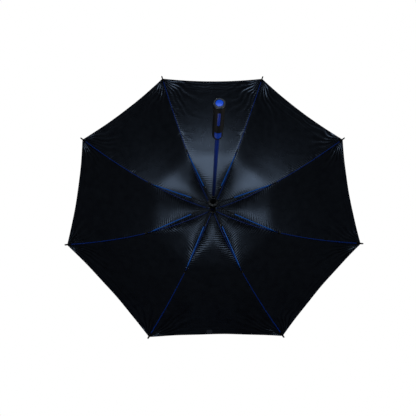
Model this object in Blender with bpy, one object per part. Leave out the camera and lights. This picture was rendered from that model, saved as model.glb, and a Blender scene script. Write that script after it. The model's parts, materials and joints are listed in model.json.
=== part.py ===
"""Automatic golf umbrella, standing upright with its canopy open.

Metres, +Z up along the shaft, origin at the centre of the handle's flat end.
Eight stations of rib, stretcher and strut stand round the shaft. Each station
is modelled once in its own radial plane (x outward, y across, z up) and placed
eight times. Every moving piece has its origin on the axis it turns about.
"""

import bmesh
import bpy
import math
from mathutils import Vector

# ---- driving dimensions, in metres -----------------------------------------
STATIONS = 8
FIRST_STATION_DEG = 22.5
GAP = 0.0003                    # running gap between neighbouring pieces

# Rib: its slope below the horizontal grows from hub to tip, in radians
RIB_LENGTH = 0.687
RIB_SLOPE_HUB = -0.219
RIB_SLOPE_GAIN = 1.567
RIB_SLOPE_EASE = -0.5115
RIB_RADIUS = 0.0020
RIB_STEPS = 60                  # steps used when the curve is summed up

# Linkage pivots: radius and height in a station's plane
NOTCH_PIVOT = Vector((0.0155, 0.0, 0.805))
KNEE_ARC = 0.303                # along the rib, where the stretcher joins it
KNEE_DROP = 0.0050              # pivot below the rib's centre line
ELBOW_FRACTION = 0.287          # along the stretcher from the runner
STRUT_PIVOT = Vector((0.0205, 0.0, 0.6993))
STRUT_OFFSET = 0.0039           # the strut lies beside the stretcher

# Shaft and hub
SHAFT_RADIUS = 0.0070
SHAFT_BORE = 0.0058
SHAFT_BOTTOM = 0.032
SHAFT_TOP = 0.8295
HEAD_BORE = SHAFT_RADIUS + GAP
SLIDING_BORE = SHAFT_RADIUS + 0.0004
HUB_RADIUS = 0.0110
FLANGE_RADIUS = 0.0178
SLOT_FLOOR = 0.0118
SLOT_WIDTH = 0.0030
WIRE_RADIUS = 0.0006
GROOVE_HALF = 0.0010
STOP_PIN_RADIUS = 0.00125
STOP_PIN_LENGTH = 0.0178

# Slider with its spring chamber
SLIDER_SLEEVE_RADIUS = 0.0105
SLIDER_CHAMBER_RADIUS = 0.0092
SLIDER_SLEEVE_DROP = 0.0843
SLIDER_LIP = 0.003
SLIDER_FLANGE_RADIUS = 0.0232
SLIDER_SLOT_FLOOR = 0.0150
SLIDER_SLOT_WIDTH = 0.0026
SLIDER_FLANGE_ABOVE = 0.0028
SLIDER_FLANGE_BELOW = 0.0040
SLIDER_RING_HEIGHT = 0.0032
SLIDER_RING_DROP = 0.0605
SLIDER_RING_BORE = 0.0101
SLIDER_RING_RADIUS = 0.0109
SPRING_MEAN_RADIUS = 0.00835
SPRING_WIRE_RADIUS = 0.00065
SPRING_COILS = 10
SPRING_STEPS = 12               # straight steps in one coil
SPRING_SIDES = 4

# Handle
GRIP_TOP = 0.158
GRIP_RADIUS = 0.0165
GRIP_SLEEVE_TOP = 0.1130
GRIP_SLEEVE_BOTTOM = 0.0070
HOUSING_CORE_RADIUS = 0.0134
HOUSING_BORE_RADIUS = 0.0113
HOUSING_BORE_FLOOR = 0.1140
END_CAP_RADIUS = 0.0171
END_CAP_HEIGHT = 0.0062
END_DISC_RADIUS = 0.01060
END_DISC_HEIGHT = 0.0030
BUTTON_WIDTH = 0.0210
BUTTON_BOTTOM = 0.1185
BUTTON_TOP = 0.1450
BUTTON_FACE_RADIUS = 0.0182
BUTTON_BACK = -0.0134
BUTTON_TRAVEL = 0.0023
STRIPE_WIDTH = 0.0080
STRIPE_BOTTOM = 0.0230
STRIPE_TOP = 0.0825
STRIPE_DEPTH = 0.0022

# Canopy and its trimmings
CANOPY_THICKNESS = 0.0012
CANOPY_OFFSET = 0.0032          # inner face above the ribs' centre lines
CANOPY_ARC = 0.687              # hub to corner along a rib
CANOPY_HOLE_RADIUS = 0.0086
CANOPY_CROWN_RADIUS = 0.0200
CANOPY_CROWN_Z = 0.8122
SCALLOP = 0.0125                # the hem's hollow between two corners
CANOPY_RINGS = 13
PANEL_STEPS = 4
ROSETTE_RADIUS = 0.024
ROSETTE_BOTTOM = 0.8104
ROSETTE_THICKNESS = 0.0012
FERRULE_BOTTOM = 0.8138
FERRULE_TOP = 0.8700
TIP_ARC = 0.672                 # where the moulded tip starts on the rib
STRAP_WIDTH = 0.018
STRAP_LENGTH = 0.120
STRAP_THICKNESS = 0.0010
STRAP_PLACE = 0.55              # across its panel, 0 and 1 being the ribs
STRAP_PANEL = 5

ROUND = 24                      # sides of the turned pieces
SLIM_ROUND = 20                 # sides of the slim ones and of wire rings
BAR_SIDES = 6                   # sides of ribs, stretchers and struts
RIB_BAYS = 7                    # straight bays in each half of a rib

COLOURS = {
    "blue_fibreglass": ((0.010, 0.040, 0.160, 1.0), 0.35, 0.0),
    "blue_paint": ((0.004, 0.012, 0.055, 1.0), 0.30, 0.2),
    "blue_plastic": ((0.006, 0.060, 0.420, 1.0), 0.35, 0.0),
    "black_plastic": ((0.006, 0.006, 0.007, 1.0), 0.40, 0.0),
    "black_rubber": ((0.004, 0.004, 0.005, 1.0), 0.65, 0.0),
    "grey_plastic": ((0.030, 0.038, 0.055, 1.0), 0.40, 0.0),
    "bright_steel": ((0.550, 0.560, 0.580, 1.0), 0.25, 1.0),
    "black_fabric": ((0.005, 0.006, 0.009, 1.0), 0.55, 0.0),
}


# ---- shared modelling helpers ----------------------------------------------
def clear_scene():
    for item in list(bpy.data.objects):
        bpy.data.objects.remove(item, do_unlink=True)


def material(name):
    made = bpy.data.materials.get(name)
    if made:
        return made
    colour, roughness, metallic = COLOURS[name]
    made = bpy.data.materials.new(name)
    made.use_nodes = True
    shader = made.node_tree.nodes["Principled BSDF"]
    shader.inputs["Base Color"].default_value = colour
    shader.inputs["Roughness"].default_value = roughness
    shader.inputs["Metallic"].default_value = metallic
    return made


def place(name, mesh, finish, parent=None, location=(0.0, 0.0, 0.0)):
    """Add a named object made from a mesh, with its material and parent."""
    item = bpy.data.objects.new(name, mesh)
    bpy.context.scene.collection.objects.link(item)
    item.location = location
    item.parent = parent
    if not mesh.materials:
        mesh.materials.append(material(finish))
    return item


def mesh_from(name, vertices, faces, sharp_deg=35.0):
    """A closed mesh with outward faces, shaded smooth except at sharp edges."""
    mesh = bpy.data.meshes.new(name)
    mesh.from_pydata([tuple(v) for v in vertices], [], faces)
    work = bmesh.new()
    work.from_mesh(mesh)
    bmesh.ops.recalc_face_normals(work, faces=work.faces)
    work.to_mesh(mesh)
    work.free()
    mesh.shade_smooth()
    mesh.set_sharp_from_angle(angle=math.radians(sharp_deg))
    return mesh


def turned(name, profile, sides=ROUND):
    """Revolve an outline of (radius, height) points about Z.

    The outline is closed on itself; points on the axis collapse to one.
    """
    vertices = []
    rings = []
    for radius, height in profile:
        if radius < 1e-9:
            vertices.append(Vector((0.0, 0.0, height)))
            rings.append([len(vertices) - 1])
            continue
        ring = []
        for step in range(sides):
            angle = 2.0 * math.pi * step / sides
            vertices.append(Vector((radius * math.cos(angle), radius * math.sin(angle), height)))
            ring.append(len(vertices) - 1)
        rings.append(ring)
    faces = []
    for one, two in zip(rings, rings[1:] + rings[:1]):
        if len(one) == 1 and len(two) == 1:
            continue
        for step in range(sides):
            after = (step + 1) % sides
            if len(one) == 1:
                faces.append((one[0], two[step], two[after]))
            elif len(two) == 1:
                faces.append((one[step], one[after], two[0]))
            else:
                faces.append((one[step], one[after], two[after], two[step]))
    return mesh_from(name, vertices, faces)


def lofted(name, centres, across, half_widths, half_heights, sides=BAR_SIDES):
    """A bar along its centres, with an elliptical section at each of them.

    across is the direction of the section's width, the same all the way.
    """
    vertices = []
    count = len(centres)
    for index, centre in enumerate(centres):
        ahead = centres[min(index + 1, count - 1)] - centres[max(index - 1, 0)]
        upward = ahead.cross(across).normalized()
        for step in range(sides):
            angle = 2.0 * math.pi * (step + 0.5) / sides
            vertices.append(centre
                            + across * (half_widths[index] * math.cos(angle))
                            + upward * (half_heights[index] * math.sin(angle)))
    faces = []
    for index in range(count - 1):
        for step in range(sides):
            after = (step + 1) % sides
            first = index * sides
            faces.append((first + step, first + after,
                          first + sides + after, first + sides + step))
    faces.append(tuple(range(sides)))
    faces.append(tuple(range((count - 1) * sides, count * sides)))
    return mesh_from(name, vertices, faces)


def block(name, low, high):
    """A box between two corners."""
    xs, ys, zs = zip(low, high)
    vertices = [Vector((x, y, z)) for x in xs for y in ys for z in zs]
    faces = [(0, 1, 3, 2), (4, 6, 7, 5), (0, 4, 5, 1), (2, 3, 7, 6), (0, 2, 6, 4), (1, 5, 7, 3)]
    return mesh_from(name, vertices, faces)


def prism(name, outline, low_y, high_y):
    """Extrude an outline of (x, z) points along Y."""
    vertices = [Vector((x, low_y, z)) for x, z in outline]
    vertices += [Vector((x, high_y, z)) for x, z in outline]
    count = len(outline)
    faces = [tuple(range(count)), tuple(range(count, 2 * count))]
    faces += [(k, (k + 1) % count, count + (k + 1) % count, count + k) for k in range(count)]
    return mesh_from(name, vertices, faces)


def pin_across(name, centre, radius, low_y, high_y, sides=8):
    """A round pin along Y."""
    middle = [Vector((centre.x, low_y, centre.z)), Vector((centre.x, high_y, centre.z))]
    return lofted(name, middle, Vector((1.0, 0.0, 0.0)), [radius] * 2, [radius] * 2, sides)


def combined(name, base, steps):
    """Apply Boolean steps, each an operation and a mesh, and return one mesh."""
    body = bpy.data.objects.new(name, base)
    bpy.context.scene.collection.objects.link(body)
    tools = []
    for operation, mesh in steps:
        tool = bpy.data.objects.new(name + "_tool", mesh)
        bpy.context.scene.collection.objects.link(tool)
        modifier = body.modifiers.new(operation.lower(), "BOOLEAN")
        modifier.operation = operation
        modifier.object = tool
        modifier.solver = "EXACT"
        tools.append(tool)
    graph = bpy.context.evaluated_depsgraph_get()
    result = bpy.data.meshes.new_from_object(body.evaluated_get(graph))
    result.name = name
    for item in [body] + tools:
        bpy.data.objects.remove(item, do_unlink=True)
    work = bmesh.new()
    work.from_mesh(result)
    bmesh.ops.remove_doubles(work, verts=work.verts, dist=1e-6)
    bmesh.ops.dissolve_degenerate(work, edges=work.edges, dist=1e-6)
    work.to_mesh(result)
    work.free()
    result.materials.clear()
    result.shade_smooth()
    result.set_sharp_from_angle(angle=math.radians(35.0))
    return result


def merged(name, meshes):
    """Put separate meshes into one, as a tool that cuts in several places."""
    work = bmesh.new()
    for mesh in meshes:
        work.from_mesh(mesh)
    result = bpy.data.meshes.new(name)
    work.to_mesh(result)
    work.free()
    return result


# ---- the rib's curve and the linkage ---------------------------------------
def rib_slope(arc):
    share = arc / RIB_LENGTH
    return RIB_SLOPE_HUB + RIB_SLOPE_GAIN * share + RIB_SLOPE_EASE * share * share


def rib_point(arc):
    """Point of the rib's centre line in its station's plane."""
    steps = max(1, round(RIB_STEPS * abs(arc) / RIB_LENGTH))
    length = arc / steps
    radius = NOTCH_PIVOT.x
    height = NOTCH_PIVOT.z
    for step in range(steps):
        slope = rib_slope(length * (step + 0.5))
        radius += length * math.cos(slope)
        height -= length * math.sin(slope)
    return Vector((radius, 0.0, height))


def rib_normal(arc):
    """Direction away from the shaft's side of the rib, towards the canopy."""
    slope = rib_slope(arc)
    return Vector((math.sin(slope), 0.0, math.cos(slope)))


def knee_pivot():
    return rib_point(KNEE_ARC) - rib_normal(KNEE_ARC) * KNEE_DROP


def runner_pivot():
    """The stretcher is as long as the knee is far from the notch's pivot."""
    knee = knee_pivot()
    return Vector((NOTCH_PIVOT.x, 0.0, 2.0 * knee.z - NOTCH_PIVOT.z))


def elbow_pivot():
    return runner_pivot().lerp(knee_pivot(), ELBOW_FRACTION)


def station_angle(index):
    return math.radians(FIRST_STATION_DEG + 360.0 * index / STATIONS)


def station_frames():
    """One empty for each station, turned to face along its radius."""
    frames = []
    for index in range(STATIONS):
        frame = bpy.data.objects.new("station_%d" % (index + 1), None)
        bpy.context.scene.collection.objects.link(frame)
        frame.rotation_euler = (0.0, 0.0, station_angle(index))
        frames.append(frame)
    return frames


# ---- shaft, hub and crown ---------------------------------------------------
def wire_ring(name, radius, height, finish):
    angles = [math.radians(90.0 * k + 45.0) for k in range(4)]
    outline = [(radius + WIRE_RADIUS * math.cos(a), height + WIRE_RADIUS * math.sin(a)) for a in angles]
    place(name, turned(name, outline), finish)


def slot_cutters(name, floor, reach, width, centre_y, low_z, high_z):
    """Eight radial slots, as one cutting mesh."""
    blocks = []
    for index in range(STATIONS):
        mesh = block(name, (floor, centre_y - width / 2, low_z), (reach, centre_y + width / 2, high_z))
        angle = station_angle(index)
        for vertex in mesh.vertices:
            x, y, z = vertex.co
            vertex.co = (x * math.cos(angle) - y * math.sin(angle),
                         x * math.sin(angle) + y * math.cos(angle), z)
        blocks.append(mesh)
    return merged(name, blocks)


def make_shaft():
    tube = turned("shaft", [(SHAFT_RADIUS, SHAFT_BOTTOM), (SHAFT_RADIUS, SHAFT_TOP),
                            (SHAFT_BORE, SHAFT_TOP), (SHAFT_BORE, SHAFT_BOTTOM)], SLIM_ROUND)
    hole = pin_across("pin_hole", stop_pin_centre(), STOP_PIN_RADIUS + GAP, -0.02, 0.02)
    place("shaft", combined("shaft", tube, [("DIFFERENCE", hole)]), "blue_paint")


def stop_pin_centre():
    """Just above the runner, which rests against the pin when open."""
    return Vector((0.0, 0.0, runner_pivot().z + 0.016 + STOP_PIN_RADIUS + GAP))


def make_stop_pin():
    half = STOP_PIN_LENGTH / 2
    place("stop_pin", pin_across("stop_pin", stop_pin_centre(), STOP_PIN_RADIUS, -half, half),
          "bright_steel")


def make_notch():
    """Fixed hub below the crown, which carries the eight ribs on a wire."""
    z = NOTCH_PIVOT.z
    r = NOTCH_PIVOT.x
    outline = [(HEAD_BORE, z - 0.010), (HUB_RADIUS, z - 0.010), (HUB_RADIUS, z - 0.004),
               (FLANGE_RADIUS, z - 0.0035), (FLANGE_RADIUS, z + 0.0030), (r + GROOVE_HALF, z + 0.0030),
               (r + GROOVE_HALF, z - GROOVE_HALF), (r - GROOVE_HALF, z - GROOVE_HALF),
               (r - GROOVE_HALF, z + 0.0030), (HUB_RADIUS, z + 0.0034), (HUB_RADIUS, z + 0.0050),
               (HEAD_BORE, z + 0.0050)]
    slots = slot_cutters("notch_slots", SLOT_FLOOR, 0.03, SLOT_WIDTH, 0.0, z - 0.012, z + 0.012)
    place("notch", combined("notch", turned("notch", outline), [("DIFFERENCE", slots)]),
          "black_plastic")
    wire_ring("notch_wire", r, z, "bright_steel")


def make_rosette():
    """Small fabric disc between the ribs' hub and the canopy."""
    low = ROSETTE_BOTTOM
    high = ROSETTE_BOTTOM + ROSETTE_THICKNESS
    place("rosette", turned("rosette", [(SHAFT_RADIUS + 0.0005, low), (ROSETTE_RADIUS, low),
                                        (ROSETTE_RADIUS, high), (SHAFT_RADIUS + 0.0005, high)]),
          "black_fabric")


def make_ferrule():
    """Cap over the shaft's end that clamps the canopy, drawn out to a spike."""
    outline = [(HEAD_BORE, FERRULE_BOTTOM), (0.0140, FERRULE_BOTTOM), (0.0142, FERRULE_BOTTOM + 0.0018),
               (0.0105, FERRULE_BOTTOM + 0.0040), (0.0096, FERRULE_BOTTOM + 0.0075),
               (0.0092, SHAFT_TOP + 0.0040), (0.0062, SHAFT_TOP + 0.0075),
               (0.0050, FERRULE_TOP - 0.0040), (0.0038, FERRULE_TOP - 0.0010),
               (0.0020, FERRULE_TOP), (0.0, FERRULE_TOP), (0.0, SHAFT_TOP + 0.0008),
               (HEAD_BORE, SHAFT_TOP + 0.0008)]
    place("ferrule", turned("ferrule", outline, SLIM_ROUND), "black_plastic")


# ---- runner, slider and spring ----------------------------------------------
def make_runner():
    """Upper collar that slides on the shaft and carries the stretchers."""
    z = runner_pivot().z
    r = NOTCH_PIVOT.x
    outline = [(SLIDING_BORE, z - 0.0050), (HUB_RADIUS, z - 0.0050), (FLANGE_RADIUS, z - 0.0046),
               (FLANGE_RADIUS, z + 0.0030), (r + GROOVE_HALF, z + 0.0034),
               (r + GROOVE_HALF, z - GROOVE_HALF), (r - GROOVE_HALF, z - GROOVE_HALF),
               (r - GROOVE_HALF, z + 0.0034), (HUB_RADIUS, z + 0.0040), (0.0100, z + 0.0150),
               (0.0094, z + 0.0160), (SLIDING_BORE, z + 0.0160)]
    slots = slot_cutters("runner_slots", SLOT_FLOOR, 0.03, SLOT_WIDTH, 0.0, z - 0.012, z + 0.012)
    place("runner", combined("runner", turned("runner", outline), [("DIFFERENCE", slots)]),
          "black_plastic")
    wire_ring("runner_wire", r, z, "bright_steel")


def slider_wire_radius():
    return math.hypot(STRUT_PIVOT.x, STRUT_OFFSET)


def make_slider():
    """Lower collar with the struts' flange above a long spring sleeve."""
    z = STRUT_PIVOT.z
    r = slider_wire_radius()
    top = z + SLIDER_FLANGE_ABOVE
    under = z - SLIDER_FLANGE_BELOW
    bottom = z - SLIDER_SLEEVE_DROP
    ring_low = z - SLIDER_RING_DROP - SLIDER_RING_HEIGHT - GAP
    ring_high = z - SLIDER_RING_DROP + GAP
    seat = SLIDER_RING_BORE - GAP
    outline = [(SLIDING_BORE, bottom), (SLIDER_SLEEVE_RADIUS - 0.0008, bottom),
               (SLIDER_SLEEVE_RADIUS, bottom + 0.0010), (SLIDER_SLEEVE_RADIUS, ring_low),
               (seat, ring_low), (seat, ring_high), (SLIDER_SLEEVE_RADIUS, ring_high),
               (SLIDER_SLEEVE_RADIUS, under - 0.0060), (0.0140, under),
               (SLIDER_FLANGE_RADIUS, under + 0.0006), (SLIDER_FLANGE_RADIUS, top - 0.0008),
               (r + GROOVE_HALF, top), (r + GROOVE_HALF, z - GROOVE_HALF),
               (r - GROOVE_HALF, z - GROOVE_HALF), (r - GROOVE_HALF, top),
               (SLIDER_CHAMBER_RADIUS, top), (SLIDER_CHAMBER_RADIUS, bottom + SLIDER_LIP),
               (SLIDING_BORE, bottom + SLIDER_LIP)]
    slots = slot_cutters("slider_slots", SLIDER_SLOT_FLOOR, 0.035, SLIDER_SLOT_WIDTH, STRUT_OFFSET,
                         z - 0.012, z + 0.012)
    place("slider", combined("slider", turned("slider", outline), [("DIFFERENCE", slots)]),
          "black_plastic")
    wire_ring("slider_wire", r, z, "bright_steel")
    place("slider_ring",
          turned("slider_ring", [(SLIDER_RING_BORE, ring_low + GAP), (SLIDER_RING_RADIUS, ring_low + GAP),
                                 (SLIDER_RING_RADIUS, ring_high - GAP),
                                 (SLIDER_RING_BORE, ring_high - GAP)]),
          "bright_steel")


def make_main_spring():
    """Opening spring: from the slider's lip up to the runner's lower face."""
    low = STRUT_PIVOT.z - SLIDER_SLEEVE_DROP + SLIDER_LIP + GAP + SPRING_WIRE_RADIUS
    high = runner_pivot().z - 0.0050 - GAP - SPRING_WIRE_RADIUS
    count = SPRING_COILS * SPRING_STEPS
    vertices = []
    sides = SPRING_SIDES
    for index in range(count + 1):
        angle = 2.0 * math.pi * index / SPRING_STEPS
        height = low + (high - low) * index / count
        outward = Vector((math.cos(angle), math.sin(angle), 0.0))
        centre = outward * SPRING_MEAN_RADIUS + Vector((0.0, 0.0, height))
        for side in range(sides):
            turn = 2.0 * math.pi * side / sides
            vertices.append(centre + outward * (SPRING_WIRE_RADIUS * math.cos(turn))
                            + Vector((0.0, 0.0, SPRING_WIRE_RADIUS * math.sin(turn))))
    faces = [tuple(range(sides)), tuple(range(count * sides, (count + 1) * sides))]
    for index in range(count):
        for side in range(sides):
            after = (side + 1) % sides
            first = index * sides
            faces.append((first + side, first + after, first + sides + after, first + sides + side))
    place("main_spring", mesh_from("main_spring", vertices, faces), "bright_steel")


# ---- ribs, stretchers and struts --------------------------------------------
def local(points, origin):
    return [point - origin for point in points]


def make_ribs(frames):
    """Inner half of each rib, from its eye on the notch's wire to the knee."""
    end_arc = KNEE_ARC - 0.0145
    eye_end = 0.0110
    arcs = [-0.0027, -0.0018, 0.0018, 0.0060, eye_end]
    arcs += [eye_end + (end_arc - eye_end) * k / RIB_BAYS for k in range(1, RIB_BAYS + 1)]
    widths = [0.0007, 0.0012, 0.0012, 0.0012] + [RIB_RADIUS] * (RIB_BAYS + 1)
    heights = [0.0012, 0.0023, 0.0025, 0.0022] + [RIB_RADIUS] * (RIB_BAYS + 1)
    points = [rib_point(arc) for arc in arcs]
    base = lofted("rib", local(points, NOTCH_PIVOT), Vector((0.0, 1.0, 0.0)), widths, heights)
    eye = pin_across("rib_eye", Vector((0.0, 0.0, 0.0)), WIRE_RADIUS + 0.0004, -0.005, 0.005)
    mesh = combined("rib", base, [("DIFFERENCE", eye)])
    for index, frame in enumerate(frames):
        place("rib_%d" % (index + 1), mesh, "blue_fibreglass", frame, NOTCH_PIVOT)


def knee_frame_points(offsets):
    """Points beside the knee, given along the rib and away from its centre."""
    return [rib_point(KNEE_ARC + along) + rib_normal(KNEE_ARC + along) * away
            for along, away in offsets]


def make_rib_connectors(frames):
    """Moulded knee on the rib, with two ears and the stretcher's pin."""
    knee = knee_pivot()
    stations = [(-0.0120, -0.0004), (-0.0095, -0.0010), (0.0, -0.0012), (0.0180, -0.0012),
                (0.0270, -0.0009), (0.0300, -0.0004)]
    body = lofted("connector", local(knee_frame_points(stations), knee), Vector((0.0, 1.0, 0.0)),
                  [0.0026, 0.0033, 0.0036, 0.0034, 0.0029, 0.0026],
                  [0.0023, 0.0030, 0.0033, 0.0032, 0.0028, 0.0024], 8)
    ears = lofted("connector_ears",
                  local([knee + Vector((-0.0034, 0.0, 0.0)), knee + Vector((-0.0022, 0.0, 0.0)),
                         knee + Vector((0.0030, 0.0, 0.0)), knee + Vector((0.0062, 0.0, 0.0008))], knee),
                  Vector((0.0, 1.0, 0.0)), [0.0033] * 4, [0.0016, 0.0031, 0.0034, 0.0034], 8)
    slot = block("connector_slot", (-0.0080, -SLOT_WIDTH / 2, -0.0080),
                 (0.0140, SLOT_WIDTH / 2, 0.0031))
    pin = pin_across("connector_pin", Vector((0.0, 0.0, 0.0)), 0.0011, -0.0025, 0.0025)
    mesh = combined("rib_connector", body, [("UNION", ears), ("DIFFERENCE", slot), ("UNION", pin)])
    for index, frame in enumerate(frames):
        place("rib_connector_%d" % (index + 1), mesh, "black_plastic", frame, knee)


def make_outer_ribs(frames):
    """Outer half of each rib with its moulded tip, turning with the knee."""
    knee = knee_pivot()
    start = KNEE_ARC + 0.0300 + 2.0 * GAP
    arcs = [start + (TIP_ARC - start) * k / RIB_BAYS for k in range(RIB_BAYS + 1)]
    widths = [RIB_RADIUS * 0.95] * (RIB_BAYS + 1)
    tip_arcs = [0.0004, 0.0110, 0.0140, 0.0240, 0.0265, 0.0275]
    tip_radii = [0.0022, 0.0022, 0.0030, 0.0030, 0.0022, 0.0010]
    arcs += [TIP_ARC + arc for arc in tip_arcs]
    widths += tip_radii
    points = local([rib_point(arc) for arc in arcs], knee)
    mesh = lofted("rib_outer", points, Vector((0.0, 1.0, 0.0)), widths, widths)
    for index, frame in enumerate(frames):
        place("rib_outer_%d" % (index + 1), mesh, "blue_fibreglass", frame, knee)


def make_stretchers(frames):
    """Straight bars from the knees to the runner, pierced at both ends."""
    knee = knee_pivot()
    runner = runner_pivot()
    elbow = elbow_pivot()
    along = (runner - knee)
    length = along.length
    along.normalize()
    to_elbow = (elbow - knee).length
    shape = [(-0.0026, 0.0008, 0.0012), (-0.0016, 0.0012, 0.0023), (0.0016, 0.0012, 0.0025),
             (0.0100, 0.0012, 0.0025), (0.0160, 0.0025, 0.0025), (to_elbow - 0.0060, 0.0025, 0.0025),
             (to_elbow - 0.0040, 0.0025, 0.0031), (to_elbow + 0.0040, 0.0025, 0.0031),
             (to_elbow + 0.0070, 0.0024, 0.0026), (length - 0.0140, 0.0022, 0.0025),
             (length - 0.0085, 0.0012, 0.0025), (length - 0.0016, 0.0012, 0.0025),
             (length + 0.0016, 0.0012, 0.0023), (length + 0.0026, 0.0008, 0.0012)]
    base = lofted("stretcher", [along * at for at, _, _ in shape], Vector((0.0, 1.0, 0.0)),
                  [wide for _, wide, _ in shape], [high for _, _, high in shape])
    holes = [pin_across("hole", Vector((0.0, 0.0, 0.0)), 0.0011 + GAP, -0.01, 0.01),
             pin_across("hole", along * to_elbow, 0.0012 + GAP, -0.01, 0.01),
             pin_across("hole", along * length, WIRE_RADIUS + 0.0004, -0.01, 0.01)]
    mesh = combined("stretcher", base, [("DIFFERENCE", merged("holes", holes))])
    for index, frame in enumerate(frames):
        place("stretcher_%d" % (index + 1), mesh, "blue_fibreglass", frame, knee)


def hook_cutter(eye, radius):
    """Eye open towards the shaft, so the strut can lift off the slider's wire."""
    reach = 0.008
    outline = []
    for degrees in range(-65, 71, 27):
        turn = math.radians(degrees)
        outline.append((eye.x + radius * math.cos(turn), eye.z + radius * math.sin(turn)))
    for edge, side in ((160.0, -90.0), (205.0, 90.0)):
        turn = math.radians(edge)
        foot = math.radians(edge + side)
        outline.append((eye.x + radius * math.cos(foot) + reach * math.cos(turn),
                        eye.z + radius * math.sin(foot) + reach * math.sin(turn)))
    return prism("hook", outline, 0.0, 0.01)


def make_struts(frames):
    """Flat struts beside the stretchers, from the elbow to the slider."""
    elbow = elbow_pivot()
    along = STRUT_PIVOT - elbow
    length = along.length
    along.normalize()
    side = Vector((0.0, STRUT_OFFSET, 0.0))
    shape = [(-0.0026, 0.0010), (-0.0016, 0.0022), (0.0016, 0.0025), (0.0070, 0.0018),
             (length - 0.0070, 0.0018), (length - 0.0016, 0.0023), (length + 0.0014, 0.0021),
             (length + 0.0024, 0.0010)]
    base = lofted("strut", [side + along * at for at, _ in shape], Vector((0.0, 1.0, 0.0)),
                  [0.00095] * len(shape), [high for _, high in shape])
    rivet = pin_across("rivet", Vector((0.0, 0.0, 0.0)), 0.0012, -0.0030, STRUT_OFFSET)
    hook = hook_cutter(along * length, WIRE_RADIUS + 0.0005)
    mesh = combined("strut", base, [("UNION", rivet), ("DIFFERENCE", hook)])
    for index, frame in enumerate(frames):
        place("strut_%d" % (index + 1), mesh, "black_plastic", frame, elbow)


# ---- handle -----------------------------------------------------------------
def button_outline(width, bottom, top):
    """D shape seen from the front: flat below, half round above."""
    half = width / 2
    centre = top - half
    arc = [(half * math.cos(math.radians(a)), centre + half * math.sin(math.radians(a)))
           for a in range(0, 181, 15)]
    return [(-half, bottom), (half, bottom)] + arc


def make_housing():
    """Handle core: a socket for the shaft and slider, and the button's pocket."""
    outline = [(HEAD_BORE, SHAFT_BOTTOM - GAP), (0.0, SHAFT_BOTTOM - GAP), (0.0, END_CAP_HEIGHT + GAP),
               (HOUSING_CORE_RADIUS, END_CAP_HEIGHT + GAP),
               (HOUSING_CORE_RADIUS, GRIP_SLEEVE_TOP + GAP), (GRIP_RADIUS, GRIP_SLEEVE_TOP + GAP),
               (GRIP_RADIUS, GRIP_TOP - 0.0110), (GRIP_RADIUS - 0.0006, GRIP_TOP - 0.0060),
               (GRIP_RADIUS - 0.0018, GRIP_TOP - 0.0020), (GRIP_RADIUS - 0.0034, GRIP_TOP),
               (HOUSING_BORE_RADIUS, GRIP_TOP), (HOUSING_BORE_RADIUS, HOUSING_BORE_FLOOR),
               (HEAD_BORE, HOUSING_BORE_FLOOR)]
    pocket = prism("pocket", button_outline(BUTTON_WIDTH + 2 * GAP, BUTTON_BOTTOM - GAP,
                                                   BUTTON_TOP + GAP),
                          -0.03, BUTTON_BACK + BUTTON_TRAVEL + GAP)
    mesh = combined("handle_housing", turned("handle_housing", outline), [("DIFFERENCE", pocket)])
    place("handle_housing", mesh, "black_plastic")


def make_grip():
    """Soft sleeve over the core, slightly waisted, with a recess for its stripe."""
    inner = HOUSING_CORE_RADIUS + GAP
    outline = [(inner, GRIP_SLEEVE_BOTTOM)]
    rows = 6
    for row in range(rows + 1):
        share = row / rows
        height = GRIP_SLEEVE_BOTTOM + (GRIP_SLEEVE_TOP - GRIP_SLEEVE_BOTTOM) * share
        outline.append((GRIP_RADIUS + 0.0006 * math.cos(2.0 * math.pi * share), height))
    outline.append((inner, GRIP_SLEEVE_TOP))
    recess = block("recess", (-STRIPE_WIDTH / 2 - GAP, -0.03, STRIPE_BOTTOM - GAP),
                   (STRIPE_WIDTH / 2 + GAP, -GRIP_RADIUS + STRIPE_DEPTH, STRIPE_TOP + GAP))
    mesh = combined("grip_sleeve", turned("grip_sleeve", outline), [("DIFFERENCE", recess)])
    place("grip_sleeve", mesh, "black_rubber")
    blank = block("blank", (-STRIPE_WIDTH / 2, -0.03, STRIPE_BOTTOM),
                  (STRIPE_WIDTH / 2, -GRIP_RADIUS + STRIPE_DEPTH - GAP, STRIPE_TOP))
    solid = turned("stripe_round", [(0.0, 0.0), (GRIP_RADIUS - 0.0004, 0.0), (GRIP_RADIUS - 0.0004, 0.2),
                                    (0.0, 0.2)])
    place("grip_stripe", combined("grip_stripe", blank, [("INTERSECT", solid)]), "blue_plastic")


def make_end_cap():
    """Ring round the handle's end, and the domed disc set into it."""
    outline = [(END_DISC_RADIUS + GAP, 0.0), (END_CAP_RADIUS - 0.0018, 0.0),
               (END_CAP_RADIUS - 0.0004, 0.0012), (END_CAP_RADIUS, 0.0028),
               (END_CAP_RADIUS - 0.0006, END_CAP_HEIGHT), (0.0, END_CAP_HEIGHT),
               (0.0, END_DISC_HEIGHT + GAP), (END_DISC_RADIUS + GAP, END_DISC_HEIGHT + GAP)]
    place("end_cap_ring", turned("end_cap_ring", outline), "grey_plastic")
    disc = [(0.0, 0.0), (END_DISC_RADIUS - 0.0008, 0.0), (END_DISC_RADIUS, 0.0008),
            (END_DISC_RADIUS, END_DISC_HEIGHT), (0.0, END_DISC_HEIGHT)]
    place("end_cap_disc", turned("end_cap_disc", disc), "blue_plastic")


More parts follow.
